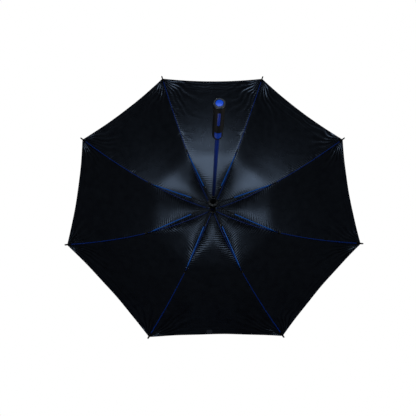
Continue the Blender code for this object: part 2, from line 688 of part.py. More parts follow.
def make_button():
    """Push button: a D-shaped block with a rounded face, sliding inward."""
    blank = prism("button", button_outline(BUTTON_WIDTH, BUTTON_BOTTOM, BUTTON_TOP),
                  -0.03, BUTTON_BACK)
    solid = turned("button_round", [(0.0, 0.1), (BUTTON_FACE_RADIUS, 0.1), (BUTTON_FACE_RADIUS, 0.2),
                                    (0.0, 0.2)])
    mesh = combined("push_button", blank, [("INTERSECT", solid)])
    origin = Vector((0.0, BUTTON_BACK, (BUTTON_BOTTOM + BUTTON_TOP) / 2))
    for vertex in mesh.vertices:
        vertex.co -= origin
    place("push_button", mesh, "blue_plastic", None, origin)


# ---- canopy -----------------------------------------------------------------
def canopy_meridian(arc, lift):
    """Point over a rib; the crown lies flat over the hub's top."""
    if arc <= 0.0:
        share = 1.0 + arc / NOTCH_PIVOT.x
        radius = CANOPY_HOLE_RADIUS + (CANOPY_CROWN_RADIUS - CANOPY_HOLE_RADIUS) * share
        return Vector((radius, 0.0, CANOPY_CROWN_Z + lift))
    return rib_point(arc) + rib_normal(arc) * (CANOPY_OFFSET + lift)


def canopy_point(panel, across, share, lift):
    """Point of a panel: across from rib to rib, share from the hub to the hem."""
    hem_arc = CANOPY_ARC - SCALLOP * 4.0 * across * (1.0 - across)
    if share <= 0.0:
        over = canopy_meridian(-NOTCH_PIVOT.x, lift)
    elif share < 0.03:
        over = canopy_meridian(0.0, lift)
    else:
        over = canopy_meridian(hem_arc * share, lift)
    sides = []
    for index in (panel, panel + 1):
        angle = station_angle(index)
        sides.append(Vector((over.x * math.cos(angle), over.x * math.sin(angle), over.z)))
    return sides[0].lerp(sides[1], across)


def make_canopy():
    """One thin closed shell over all eight panels, open at the crown's hole."""
    shares = [0.0, 0.02] + [0.05 + 0.95 * k / CANOPY_RINGS for k in range(CANOPY_RINGS + 1)]
    columns = STATIONS * PANEL_STEPS
    vertices = []
    for lift in (0.0, CANOPY_THICKNESS):
        for share in shares:
            for column in range(columns):
                panel, step = divmod(column, PANEL_STEPS)
                vertices.append(canopy_point(panel, step / PANEL_STEPS, share, lift))
    rows = len(shares)
    faces = []

    def at(layer, row, column):
        return (layer * rows + row) * columns + column % columns

    for column in range(columns):
        for row in range(rows - 1):
            faces.append((at(0, row, column), at(0, row, column + 1),
                          at(0, row + 1, column + 1), at(0, row + 1, column)))
            faces.append((at(1, row, column), at(1, row + 1, column),
                          at(1, row + 1, column + 1), at(1, row, column + 1)))
        for row in (0, rows - 1):
            faces.append((at(0, row, column), at(0, row, column + 1),
                          at(1, row, column + 1), at(1, row, column)))
    place("canopy", mesh_from("canopy", vertices, faces), "black_fabric")


def make_tie_strap():
    """Closing strap, sewn near the hem and lying on the canopy's outer face."""
    rows = 6
    hem_arc = CANOPY_ARC - SCALLOP
    centre_angle = station_angle(STRAP_PANEL) + math.radians(45.0) * STRAP_PLACE
    across = Vector((-math.sin(centre_angle), math.cos(centre_angle), 0.0))
    vertices = []
    for row in range(rows + 1):
        share = (hem_arc - 0.004 - STRAP_LENGTH * row / rows) / hem_arc
        for lift in (CANOPY_THICKNESS + 0.0008, CANOPY_THICKNESS + 0.0008 + STRAP_THICKNESS):
            middle = canopy_point(STRAP_PANEL, STRAP_PLACE, share, lift)
            for side in (-0.5, 0.5):
                vertices.append(middle + across * (STRAP_WIDTH * side))
    faces = [(0, 1, 3, 2), tuple(4 * rows + k for k in (0, 2, 3, 1))]
    for row in range(rows):
        first = 4 * row
        for one, two in ((0, 1), (1, 3), (3, 2), (2, 0)):
            faces.append((first + one, first + two, first + 4 + two, first + 4 + one))
    place("tie_strap", mesh_from("tie_strap", vertices, faces), "black_fabric")


def main():
    clear_scene()
    frames = station_frames()
    make_shaft()
    make_stop_pin()
    make_notch()
    make_rosette()
    make_ferrule()
    make_runner()
    make_slider()
    make_main_spring()
    make_ribs(frames)
    make_rib_connectors(frames)
    make_outer_ribs(frames)
    make_stretchers(frames)
    make_struts(frames)
    make_housing()
    make_grip()
    make_end_cap()
    make_button()
    make_canopy()
    make_tie_strap()


main()
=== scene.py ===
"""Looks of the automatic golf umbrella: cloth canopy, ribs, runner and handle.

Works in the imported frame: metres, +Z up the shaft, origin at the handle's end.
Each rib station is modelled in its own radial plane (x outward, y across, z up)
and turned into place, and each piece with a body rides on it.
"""
import json
import math

import bmesh
import bpy
from mathutils import Matrix, Vector


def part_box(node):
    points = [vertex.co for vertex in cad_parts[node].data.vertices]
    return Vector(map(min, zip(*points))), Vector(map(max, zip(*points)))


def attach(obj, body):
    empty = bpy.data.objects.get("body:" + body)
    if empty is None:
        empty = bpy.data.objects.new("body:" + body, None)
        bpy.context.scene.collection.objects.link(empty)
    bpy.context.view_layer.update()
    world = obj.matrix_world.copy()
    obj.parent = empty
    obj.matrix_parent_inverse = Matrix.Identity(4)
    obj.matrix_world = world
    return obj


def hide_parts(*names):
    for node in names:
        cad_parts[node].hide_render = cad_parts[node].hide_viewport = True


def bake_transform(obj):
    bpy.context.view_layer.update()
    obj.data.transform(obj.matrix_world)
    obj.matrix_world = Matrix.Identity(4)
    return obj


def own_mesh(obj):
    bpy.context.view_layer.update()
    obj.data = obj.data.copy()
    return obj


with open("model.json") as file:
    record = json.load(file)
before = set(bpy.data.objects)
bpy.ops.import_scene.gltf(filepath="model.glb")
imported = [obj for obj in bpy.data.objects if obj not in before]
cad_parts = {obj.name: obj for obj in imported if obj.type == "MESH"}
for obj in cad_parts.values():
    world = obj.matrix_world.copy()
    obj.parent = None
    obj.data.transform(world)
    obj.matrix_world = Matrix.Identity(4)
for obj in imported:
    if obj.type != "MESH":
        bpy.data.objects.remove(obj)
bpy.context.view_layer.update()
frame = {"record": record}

JOINTS = {joint["name"]: joint for joint in frame["record"]["behaviour"]["joints"]}
STATIONS = 8
PANEL_ANGLE = 2.0 * math.pi / STATIONS
OUTWARD = Vector((1.0, 0.0, 0.0))
ACROSS = Vector((0.0, 1.0, 0.0))
UPWARD = Vector((0.0, 0.0, 1.0))


# ---- places read from the frame ---------------------------------------------
def radial(point):
    """A point of the first station, turned into its radial plane."""
    return Vector((math.hypot(point[0], point[1]), 0.0, point[2]))


def middle(node):
    low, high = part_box(node)
    return (Vector(low) + Vector(high)) / 2


def station_angle(index):
    first = JOINTS["rib_1_fold"]["pos_m"]
    return math.atan2(first[1], first[0]) + PANEL_ANGLE * index


def station_matrix(index):
    return Matrix.Rotation(station_angle(index), 4, "Z")


def station_tangent(index):
    """Level direction round the shaft at a station; a half index lies mid panel."""
    angle = station_angle(index)
    return Vector((-math.sin(angle), math.cos(angle), 0.0))


NOTCH_PIVOT = radial(JOINTS["rib_1_fold"]["pos_m"])
KNEE = radial(JOINTS["rib_1_flex"]["pos_m"])
ELBOW = radial(JOINTS["strut_1_elbow"]["pos_m"])
RUNNER_PIVOT = radial(JOINTS["runner_ride"]["pos_m"])
STRUT_EYE_REACH = 0.0205
STRUT_OFFSET = 0.0039
SLIDER_PIVOT = Vector((STRUT_EYE_REACH, 0.0, middle("slider_wire").z))
SHAFT_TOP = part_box("shaft")[1][2]
SHAFT_RADIUS = 0.0070
SHAFT_BORE = 0.0058
SLEEVE_BORE = 0.0074
HUB_BORE = 0.0073

# The rib's curve: slope below the horizontal, in radians, against its share
RIB_LENGTH = 0.687
RIB_SLOPES = (-0.219, 1.567, -0.5115)
RIB_STEPS = 120
RIB_RADIUS = 0.0020
KNEE_ARC = 0.303
TIP_ARC = 0.672
TIE_ARCS = (0.150, 0.420, 0.545)


def rib_slope(arc):
    share = arc / RIB_LENGTH
    return RIB_SLOPES[0] + RIB_SLOPES[1] * share + RIB_SLOPES[2] * share * share


def make_rib_table():
    """Points of the rib's centre line at even steps from the hub past the tip."""
    step = RIB_LENGTH / RIB_STEPS
    points = [NOTCH_PIVOT.copy()]
    for index in range(RIB_STEPS + 8):
        slope = rib_slope(step * (index + 0.5))
        points.append(points[-1] + Vector((step * math.cos(slope), 0.0, -step * math.sin(slope))))
    return points


RIB_TABLE = make_rib_table()


def rib_point(arc):
    place = arc / RIB_LENGTH * RIB_STEPS
    index = min(max(int(place), 0), len(RIB_TABLE) - 2)
    return RIB_TABLE[index].lerp(RIB_TABLE[index + 1], place - index)


def rib_normal(arc):
    slope = rib_slope(arc)
    return Vector((math.sin(slope), 0.0, math.cos(slope)))


# ---- material helpers --------------------------------------------------------
def srgb(red, green, blue):
    """Linear colour from 8-bit display values."""
    def linear(value):
        share = value / 255.0
        if share <= 0.04045:
            return share / 12.92
        return ((share + 0.055) / 1.055) ** 2.4
    return (linear(red), linear(green), linear(blue), 1.0)


class Shader:
    """A material with one Principled shader and short calls to add nodes."""

    def __init__(self, name, colour, roughness, **settings):
        self.material = bpy.data.materials.new(name)
        self.material.use_nodes = True
        self.tree = self.material.node_tree
        self.principled = self.tree.nodes["Principled BSDF"]
        self.drive("Base Color", colour)
        self.drive("Roughness", roughness)
        for key, value in settings.items():
            self.drive(key.replace("_", " "), value)

    def feed(self, socket, value):
        """Link an output to a socket, or set the socket to a constant."""
        if isinstance(value, bpy.types.NodeSocket):
            self.tree.links.new(value, socket)
        else:
            socket.default_value = value

    def drive(self, name, value):
        self.feed(self.principled.inputs[name], value)

    def node(self, kind, **inputs):
        made = self.tree.nodes.new(kind)
        for key, value in inputs.items():
            self.feed(made.inputs[key.replace("_", " ")], value)
        return made

    def math(self, operation, *values):
        made = self.tree.nodes.new("ShaderNodeMath")
        made.operation = operation
        for socket, value in zip(made.inputs, values):
            self.feed(socket, value)
        return made.outputs[0]

    def product(self, result, *factors):
        for factor in factors:
            result = self.math("MULTIPLY", result, factor)
        return result

    def total(self, result, *terms):
        for term in terms:
            result = self.math("ADD", result, term)
        return result

    def ramp(self, factor, low, high, dark, light):
        """Blend between two colours as the factor goes from low to high."""
        made = self.tree.nodes.new("ShaderNodeValToRGB")
        for element, position, colour in zip(made.color_ramp.elements, (low, high), (dark, light)):
            element.position = position
            element.color = colour
        self.feed(made.inputs[0], factor)
        return made.outputs[0]

    def step_up(self, value, low, high):
        """0 below low, 1 above high, smooth between."""
        made = self.node("ShaderNodeMapRange", Value=value, From_Min=low, From_Max=high)
        made.interpolation_type = "SMOOTHSTEP"
        return made.outputs[0]

    def span(self, factor, low, high):
        """Map a 0 to 1 factor to the range from low to high."""
        return self.node("ShaderNodeMapRange", Value=factor, To_Min=low, To_Max=high).outputs[0]

    def fade(self, distance, length):
        """Falls from 1 at no distance, by a factor e over each length."""
        return self.math("EXPONENT", self.math("DIVIDE", distance, -length))

    def wave(self, value, length, phase=0.0):
        """Sine of a value along its wave length, shifted by a phase."""
        return self.math("SINE", self.math("MULTIPLY_ADD", value, 2.0 * math.pi / length, phase))

    def uv(self, name):
        """The two cloth coordinates that a mesh layer holds."""
        layer = self.tree.nodes.new("ShaderNodeUVMap")
        layer.uv_map = name
        return self.node("ShaderNodeSeparateXYZ", Vector=layer.outputs[0]).outputs[:2]

    def place(self, scale=(1.0, 1.0, 1.0)):
        """Object coordinates in metres, stretched by scale."""
        source = self.tree.nodes.new("ShaderNodeTexCoord")
        return self.node("ShaderNodeMapping", Vector=source.outputs["Object"], Scale=scale).outputs[0]

    def noise(self, vector, scale, detail=3.0):
        return self.node("ShaderNodeTexNoise", Vector=vector, Scale=scale, Detail=detail).outputs[0]

    def bump(self, height, distance, strength=1.0):
        made = self.node("ShaderNodeBump", Height=height, Distance=distance, Strength=strength)
        self.drive("Normal", made.outputs[0])


# ---- materials ---------------------------------------------------------------
CLOTH_DARK = srgb(8, 8, 11)
CLOTH_LIGHT = srgb(16, 17, 20)
THREAD_GREY = srgb(26, 29, 38)
WEAVE_PITCH = 0.0011
HEM_SEAM = 0.0080


def seam_puckers(shade, away, arc, soft):
    """Short ripples across the stitching over each rib, strongest round the hub."""
    ripple = shade.wave(arc, 0.0105, shade.math("MULTIPLY", soft, 26.0))
    around = shade.math("DIVIDE", shade.math("SUBTRACT", arc, 0.135), 0.085)
    band = shade.fade(shade.product(around, around), 1.0)
    return shade.product(ripple, shade.fade(away, 0.020), shade.math("ADD", band, 0.05), 2.4)


def corner_fan(shade, side, from_hem, soft):
    """Folds fanning out of each corner, between the rib and the hem."""
    turn = shade.math("ARCTAN2", side, shade.math("ADD", from_hem, 0.001))
    square = shade.math("ADD", shade.product(side, side), shade.product(from_hem, from_hem))
    distance = shade.math("SQRT", square)
    bend = shade.math("MULTIPLY", shade.math("SUBTRACT", soft, 0.5), 22.0)
    reach = shade.math("SUBTRACT", shade.fade(distance, 0.060), shade.fade(distance, 0.014))
    return shade.product(shade.wave(turn, 0.30, bend), reach, 1.5)


def hem_drape(shade, away, from_hem):
    """Shallow folds that run beside the hem between the corners."""
    drift = shade.math("MULTIPLY", shade.noise(shade.place((1.0, 1.0, 0.2)), 14.0, 1.0), 16.0)
    return shade.product(shade.wave(from_hem, 0.0125, drift), shade.fade(from_hem, 0.026),
                         shade.step_up(away, 0.06, 0.14), 0.22)


def hem_stitch(shade, away, from_hem):
    """1 on the dashes of the hem's seam and 0 off them."""
    off_seam = shade.math("ABSOLUTE", shade.math("SUBTRACT", from_hem, HEM_SEAM))
    on_seam = shade.math("LESS_THAN", off_seam, 0.0005)
    dash = shade.math("LESS_THAN", shade.math("FRACT", shade.math("DIVIDE", away, 0.0032)), 0.62)
    return shade.product(on_seam, dash)


def make_cloth():
    """Thin coated weave with a soft sheen, puckered seams, folds and a stitched hem."""
    shade = Shader("canopy_cloth", srgb(9, 12, 19), 0.4, Specular_IOR_Level=0.5,
                   Specular_Tint=(0.62, 0.76, 1.0, 1.0))
    side, from_hem = shade.uv("hem")
    arc = shade.uv("gore")[1]
    away = shade.math("ABSOLUTE", side)
    place = shade.place()
    soft = shade.noise(place, 9.0, 2.0)
    creases = shade.noise(place, 34.0, 4.0)
    stitch = hem_stitch(shade, away, from_hem)
    colour = shade.node("ShaderNodeMix")
    colour.data_type = "RGBA"
    shade.feed(colour.inputs["Factor"], stitch)
    shade.feed(colour.inputs[6], shade.ramp(creases, 0.30, 0.72, CLOTH_DARK, CLOTH_LIGHT))
    shade.feed(colour.inputs[7], THREAD_GREY)
    shade.drive("Base Color", colour.outputs[2])
    worn = shade.math("MULTIPLY", shade.fade(arc, 0.060), 0.35)
    shade.drive("Roughness", shade.math("ADD", shade.span(creases, 0.25, 0.31), worn))
    weave = shade.product(shade.wave(away, WEAVE_PITCH), shade.wave(from_hem, WEAVE_PITCH))
    height = shade.total(shade.product(weave, 0.006), shade.product(creases, 0.12),
                         seam_puckers(shade, away, arc, soft), corner_fan(shade, side, from_hem, soft),
                         hem_drape(shade, away, from_hem), shade.product(stitch, 0.3))
    shade.bump(height, 0.0012)
    return shade.material


def make_trim_cloth():
    """Narrow ribbon weave, a little lighter than the canopy."""
    shade = Shader("strap_cloth", srgb(20, 24, 32), 0.6, Sheen_Weight=0.15, Sheen_Roughness=0.5)
    place = shade.place()
    grain = shade.noise(place, 160.0, 3.0)
    shade.drive("Base Color", shade.ramp(grain, 0.3, 0.7, srgb(15, 18, 25), srgb(27, 31, 41)))
    shade.bump(shade.noise(place, 1500.0, 2.0), 0.0002, 0.6)
    return shade.material


def make_fibreglass(name, dark, light):
    """Pultruded rod: fine fibre streaks along it under a satin surface."""
    shade = Shader(name, light, 0.4, Specular_IOR_Level=0.3, Coat_Weight=0.08, Coat_Roughness=0.2)
    streaks = shade.noise(shade.place(), 620.0, 2.0)
    shade.drive("Base Color", shade.ramp(streaks, 0.35, 0.65, dark, light))
    shade.bump(streaks, 0.0002, 0.25)
    return shade.material


def make_paint():
    """Dark blue paint on the shaft, with a faint polish grain."""
    shade = Shader("shaft_paint", srgb(2, 30, 104), 0.3, Specular_IOR_Level=0.35, Coat_Weight=0.2,
                   Coat_Roughness=0.12)
    grain = shade.noise(shade.place((1.0, 1.0, 0.05)), 900.0, 2.0)
    shade.drive("Base Color", shade.ramp(grain, 0.3, 0.7, srgb(0, 28, 104), srgb(2, 40, 130)))
    shade.drive("Roughness", shade.span(grain, 0.24, 0.36))
    return shade.material


def make_moulded(name, dark, light, roughness, specular, grain_height=0.0001, grain_scale=700.0):
    """Moulded plastic or rubber with a fine surface grain and worn patches."""
    shade = Shader(name, light, roughness, Specular_IOR_Level=specular)
    place = shade.place()
    wear = shade.noise(place, 70.0, 4.0)
    shade.drive("Base Color", shade.ramp(wear, 0.30, 0.70, dark, light))
    shade.drive("Roughness", shade.span(wear, roughness - 0.06, roughness + 0.08))
    shade.bump(shade.noise(place, grain_scale, 2.0), grain_height, 0.5)
    return shade.material


def make_steel():
    """Plated steel with fine scratches."""
    shade = Shader("plated_steel", (0.24, 0.25, 0.27, 1.0), 0.32, Metallic=1.0)
    scratches = shade.noise(shade.place((1.0, 1.0, 6.0)), 400.0, 3.0)
    shade.drive("Roughness", shade.span(scratches, 0.20, 0.40))
    return shade.material


# Each finish is a material and the name of a slot
CLOTH = (make_cloth(), "canopy_cloth")
TRIM = (make_trim_cloth(), "canopy_cloth")
RIB_BLUE = (make_fibreglass("rib_fibreglass", srgb(2, 36, 104), srgb(6, 50, 132)), "blue_fibreglass")
BAR_BLUE = (make_fibreglass("stretcher_fibreglass", srgb(4, 84, 178), srgb(12, 108, 206)),
            "blue_fibreglass")
PAINT = (make_paint(), "shaft_blue")
NYLON = (make_moulded("black_nylon", srgb(4, 4, 5), srgb(8, 8, 10), 0.42, 0.30), "black_plastic")
THREAD = (NYLON[0], "canopy_cloth")
HOUSING = (make_moulded("housing_plastic", srgb(2, 2, 3), srgb(6, 6, 7), 0.55, 0.18, 0.00015, 520.0),
           "black_plastic")
RUBBER = (make_moulded("grip_rubber", srgb(2, 2, 3), srgb(5, 5, 6), 0.66, 0.12, 0.00025, 420.0),
          "black_rubber")
GREY = (make_moulded("ring_plastic", srgb(20, 25, 34), srgb(30, 37, 48), 0.42, 0.35), "grey_plastic")
DISC_BLUE = (make_moulded("disc_plastic", srgb(0, 60, 176), srgb(2, 76, 204), 0.34, 0.35, 0.00005, 500.0),
             "bright_blue")
BUTTON_BLUE = (make_moulded("button_plastic", srgb(2, 46, 140), srgb(6, 60, 168), 0.38, 0.30),
               "button_blue")
STRIPE_BLUE = (make_moulded("stripe_plastic", srgb(1, 30, 110), srgb(4, 42, 140), 0.46, 0.25),
               "bright_blue")
STEEL = (make_steel(), "steel")


# ---- mesh helpers ------------------------------------------------------------
def smoothed(mesh):
    """Shade smooth, with sharp edges where faces meet at more than 35 degrees."""
    mesh.shade_smooth()
    mesh.set_sharp_from_angle(angle=math.radians(35.0))
    return mesh


def finished_mesh(vertices, faces):
    mesh = bpy.data.meshes.new("shape")
    mesh.from_pydata([tuple(v) for v in vertices], [], faces)
    work = bmesh.new()
    work.from_mesh(mesh)
    bmesh.ops.recalc_face_normals(work, faces=work.faces)
    work.to_mesh(mesh)
    work.free()
    return smoothed(mesh)


def turned(profile, sides=96, shape=None):
    """Revolve a closed outline of (radius, height) points about Z.

    A shape, where there is one, moves each point by its radius, height and step.
    """
    vertices = []
    rings = []
    for radius, height in profile:
        count = 1 if radius < 1e-9 else sides
        first = len(vertices)
        for step in range(count):
            angle = 2.0 * math.pi * step / sides
            out, up = shape(radius, height, step) if shape else (radius, height)
            vertices.append((out * math.cos(angle), out * math.sin(angle), up))
        rings.append([first + step for step in range(count)])
    faces = []
    for one, two in zip(rings, rings[1:] + rings[:1]):
        if len(one) == 1 and len(two) == 1:
            continue
        for step in range(sides):
            after = (step + 1) % sides
            if len(one) == 1:
                faces.append((one[0], two[step], two[after]))
            elif len(two) == 1:
                faces.append((one[step], one[after], two[0]))
            else:
                faces.append((one[step], one[after], two[after], two[step]))
    return finished_mesh(vertices, faces)


def arc_points(x, z, radius, first, last, step, tall=None):
    """Points of a circle, or of an ellipse of its own height, by degrees."""
    height = radius if tall is None else tall
    return [(x + radius * math.cos(math.radians(angle)), z + height * math.sin(math.radians(angle)))
            for angle in range(first, last + 1, step)]


def rounded(points, radius, steps=5):
    """Round the corners of a closed outline of (radius, height) points."""
    result = []
    for index, point in enumerate(points):
        corner = Vector(point)
        before = Vector(points[index - 1]) - corner
        after = Vector(points[(index + 1) % len(points)]) - corner
        if point[0] < 1e-9:
            result.append(tuple(corner))
            continue
        reach = min(radius, before.length * 0.45, after.length * 0.45)
        start = corner + before.normalized() * reach
        end = corner + after.normalized() * reach
        for step in range(steps + 1):
            share = step / steps
            result.append(tuple(start.lerp(corner, share).lerp(corner.lerp(end, share), share)))
    return result


def lofted(centres, half_widths, half_heights, sides=20, across=ACROSS):
    """A bar along its centres with an elliptical section, closed by its ends."""
    vertices = []
    count = len(centres)
    for index, centre in enumerate(centres):
        ahead = centres[min(index + 1, count - 1)] - centres[max(index - 1, 0)]
        upward = ahead.cross(across).normalized()
        for step in range(sides):
            angle = 2.0 * math.pi * (step + 0.5) / sides
            vertices.append(centre + across * (half_widths[index] * math.cos(angle))
                            + upward * (half_heights[index] * math.sin(angle)))
    faces = []
    for index in range(count - 1):
        first = index * sides
        for step in range(sides):
            after = (step + 1) % sides
            faces.append((first + step, first + after, first + sides + after, first + sides + step))
    faces.append(tuple(range(sides)))
    faces.append(tuple(range((count - 1) * sides, count * sides)))
    return finished_mesh(vertices, faces)


def bar(start, along, stations):
    """A straight bar from stations of distance along it, half width and half height."""
    return lofted([start + along * at for at, _, _ in stations], [wide for _, wide, _ in stations],
                  [high for _, _, high in stations])


def prism(outline, low_y, high_y):
    """Extrude an outline of (x, z) points along Y."""
    count = len(outline)
    vertices = [(x, low_y, z) for x, z in outline] + [(x, high_y, z) for x, z in outline]
    faces = [tuple(range(count)), tuple(range(count, 2 * count))]
    faces += [(k, (k + 1) % count, count + (k + 1) % count, count + k) for k in range(count)]
    return finished_mesh(vertices, faces)


def pin(centre, radius, low_y, high_y):
    ends = [Vector((centre.x, low_y, centre.z)), Vector((centre.x, high_y, centre.z))]
    return lofted(ends, [radius] * 2, [radius] * 2, 20, OUTWARD)


def block(low, high):
    outline = [(low[0], low[2]), (high[0], low[2]), (high[0], high[2]), (low[0], high[2])]
    return prism(outline, low[1], high[1])


def sheet_faces(wide, rows):
    """Faces of a thin sheet whose two sides are grids of rows, one after the other.

    With each face comes 1 for the first side, -1 for the second and 0 for the rim.
    """
    count = wide * rows
    faces = []
    sides = []
    for row in range(rows - 1):
        for column in range(wide - 1):
            first = row * wide + column
            quad = (first, first + wide, first + wide + 1, first + 1)
            faces += [quad, tuple(count + k for k in reversed(quad))]
            sides += [1.0, -1.0]
    rim = list(range(wide))
    rim += [row * wide + wide - 1 for row in range(1, rows)]
    rim += [(rows - 1) * wide + k for k in range(wide - 2, -1, -1)]
    rim += [row * wide for row in range(rows - 2, 0, -1)]
    faces += [(one, two, count + two, count + one) for one, two in zip(rim, rim[1:] + rim[:1])]
    return faces, sides + [0.0] * len(rim)


def joined(meshes):
    work = bmesh.new()
    for mesh in meshes:
        work.from_mesh(mesh)
    result = bpy.data.meshes.new("group")
    work.to_mesh(result)
    work.free()
    return smoothed(result)


def shaped(base, steps, bevel=0.0):
    """Apply Boolean steps to a mesh and round its edges, then return the result."""
    body = bpy.data.objects.new("blank", base)
    items = [body]
    for operation, mesh in steps:
        tool = bpy.data.objects.new("tool", mesh)
        modifier = body.modifiers.new(operation, "BOOLEAN")
        modifier.operation = operation
        modifier.object = tool
        modifier.solver = "EXACT"
        items.append(tool)
    for item in items:
        bpy.context.scene.collection.objects.link(item)
    if bevel > 0.0:
        modifier = body.modifiers.new("bevel", "BEVEL")
        modifier.width = bevel
        modifier.segments = 2
        modifier.limit_method = "ANGLE"
        modifier.angle_limit = math.radians(40.0)
        modifier.use_clamp_overlap = True
    graph = bpy.context.evaluated_depsgraph_get()
    result = bpy.data.meshes.new_from_object(body.evaluated_get(graph))
    for item in items:
        bpy.data.objects.remove(item, do_unlink=True)
    return smoothed(result)


def piece(name, mesh, finish, body, stands_for=(), index=None):
    """Add a finished piece, turned to its station, and let it ride on its body."""
    data = mesh.copy()
    data.name = name
    if index is not None:
        data.transform(station_matrix(index))
    item = bpy.data.objects.new(name, data)
    bpy.context.scene.collection.objects.link(item)
    material, slot = finish
    data.materials.clear()
    data.materials.append(material)
    if body:
        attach(item, body)
    if stands_for:
        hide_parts(*stands_for)
    return item


def at_stations(*kinds):
    """The same pieces at every station, each a name, mesh, finish, body and nodes.

    Names, bodies and nodes hold %d for the station's number. A piece with no body
    is baked into place.
    """
    for index in range(STATIONS):
        number = index + 1
        for name, mesh, finish, body, nodes in kinds:
            item = piece(name % number, mesh, finish, body and body % number,
                         [node % number for node in nodes], index)
            if body is None:
                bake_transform(item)


def gathered(item):
    """Give a cloth piece a mesh of its own."""
    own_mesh(item)


# ---- canopy ------------------------------------------------------------------
CANOPY_ARC = 0.687
CANOPY_LIFT = 0.0036
CLOTH_THICKNESS = 0.0005
SCALLOP = 0.0125
CROWN_HOLE = 0.0086
CROWN_RADIUS = 0.0200
CROWN_Z = 0.8126
CROWN_ARC = 0.0040
HALF_COLUMNS = 14
INNER_ROWS = 30
OUTER_ROWS = 44


def hem_arc(across):
    """Length of the cloth over a meridian; the hem hollows between corners."""
    return CANOPY_ARC - SCALLOP * 4.0 * across * (1.0 - across)


def meridian(arc):
    """Point of the cloth over a rib; the crown lies flat over the hub."""
    if arc < CROWN_ARC:
        share = max(0.0, 1.0 + (arc - CROWN_ARC) / (CROWN_RADIUS - CROWN_HOLE))
        return Vector((CROWN_HOLE + (CROWN_RADIUS - CROWN_HOLE) * share, 0.0, CROWN_Z))
    settle = min(1.0, (arc - CROWN_ARC) / 0.030)
    settle = settle * settle * (3.0 - 2.0 * settle)
    over = rib_point(arc) + rib_normal(arc) * CANOPY_LIFT
    start = Vector((CROWN_RADIUS + arc - CROWN_ARC, 0.0, CROWN_Z))
    return start.lerp(over, settle)


def panel_width(arc):
    return 2.0 * meridian(arc).x * math.sin(PANEL_ANGLE / 2)


def hump(distance, width):
    return math.exp(-(distance / width) ** 2)


def corner_folds(side, below, seed):
    """Fine folds fanning out of a corner; side and below are metres from it."""
    reach = math.hypot(side, below)
    turn = math.atan2(side, below)
    fan = math.sin(11.0 * turn + seed) + 0.6 * math.sin(19.0 * turn + 2.3 * seed)
    return 0.0009 * fan * math.exp(-reach / 0.085) * reach / (reach + 0.018)


def tie_drag(side, beyond, seed):
    """Dimple and drag lines round a thread tie; side and beyond are metres from it."""
    reach = math.hypot(side, beyond)
    fold = math.sin(9.0 * math.atan2(side, beyond) + seed)
    return 0.0004 * fold * math.exp(-reach / 0.022) * reach / (reach + 0.006) - 0.0008 * hump(reach, 0.010)


def wrinkle(panel, across, arc):
    """How far the cloth stands outward of its taut shape."""
    width = panel_width(arc)
    hem = hem_arc(across)
    from_hem = hem - arc
    side = min(across, 1.0 - across) * width
    bulge = math.sin(math.pi * across)
    left_seed = 1.7 * (panel % STATIONS) + 0.9
    right_seed = 1.7 * ((panel + 1) % STATIONS)
    rise = corner_folds(across * width, CANOPY_ARC - arc, left_seed)
    rise += corner_folds((1.0 - across) * width, CANOPY_ARC - arc, right_seed)
    # small gathers round the hub
    rise += 0.0006 * hump(arc - 0.045, 0.030) * math.sin(10.0 * math.pi * across + panel)
    # long soft waves along the hem and shallow ones beside it
    wave = math.sin(2.0 * math.pi * (2.5 * across + 0.13 * panel)) * bulge
    rise += 0.0008 * wave * math.exp(-from_hem / 0.050)
    ridge = math.sin(2.0 * math.pi * from_hem / 0.021 + 1.3 * panel)
    rise += 0.0002 * ridge * hump(from_hem - 0.030, 0.026) * bulge ** 2
    # the stretchers push the dome out along the circle of the knees
    rise += 0.0024 * hump(arc - KNEE_ARC + 0.012, 0.045) * bulge ** 0.5
    for tie in TIE_ARCS:
        rise += tie_drag(side, arc - tie, panel)
    # the cloth hangs a little slack between the ribs and is drawn down to them
    rise -= 0.0028 * bulge ** 2 * math.sin(math.pi * min(1.0, arc / hem))
    return rise - 0.0005 * hump(side, 0.0035)


def taut_point(panel, across, arc):
    over = meridian(arc)
    left, right = (station_matrix(index) @ over for index in (panel, panel + 1))
    return left.lerp(right, across)


def cloth_point(panel, across, arc):
    """Point of the wrinkled cloth at a panel, a share across it and an arc."""
    point = taut_point(panel, across, arc)
    down = taut_point(panel, across, arc + 0.001) - point
    outward = station_tangent(panel + 0.5).cross(down).normalized()
    if outward.z < 0.0:
        outward = -outward
    fade = min(1.0, max(0.0, (arc - CROWN_ARC) / 0.012))
    return point + outward * (wrinkle(panel, across, arc) * fade)


def across_of(column):
    """Share across its panel of a column, which counts from the rib."""
    return column if column >= 0.0 else 1.0 + column


def station_columns():
    """Shares of the way from mid panel to mid panel, closer near the rib."""
    half = [0.5 * (step / HALF_COLUMNS) ** 1.35 for step in range(HALF_COLUMNS + 1)]
    return [-share for share in reversed(half[1:])] + half


def grid_point(index, column, arc):
    """Point of the cloth by its signed share from a station's rib."""
    panel = index - 1 if column < 0.0 else index
    return cloth_point(panel, across_of(column), arc)


def cloth_normal(index, column, arc):
    """Outward normal of the wrinkled cloth, the same from both sides of mid panel."""
    step = 0.0012
    shift = 0.004
    ahead = grid_point(index, min(0.5, column + shift), arc)
    back = grid_point(index, max(-0.5, column - shift), arc)
    if abs(column) > 0.5 - shift:
        panel = index if column > 0.0 else index - 1
        ahead = cloth_point(panel, 0.5 + shift, arc)
        back = cloth_point(panel, 0.5 - shift, arc)
    low = grid_point(index, column, max(0.0, arc - step))
    high = grid_point(index, column, arc + step)
    normal = (high - low).cross(ahead - back).normalized()
    return normal if normal.z > 0.0 else -normal


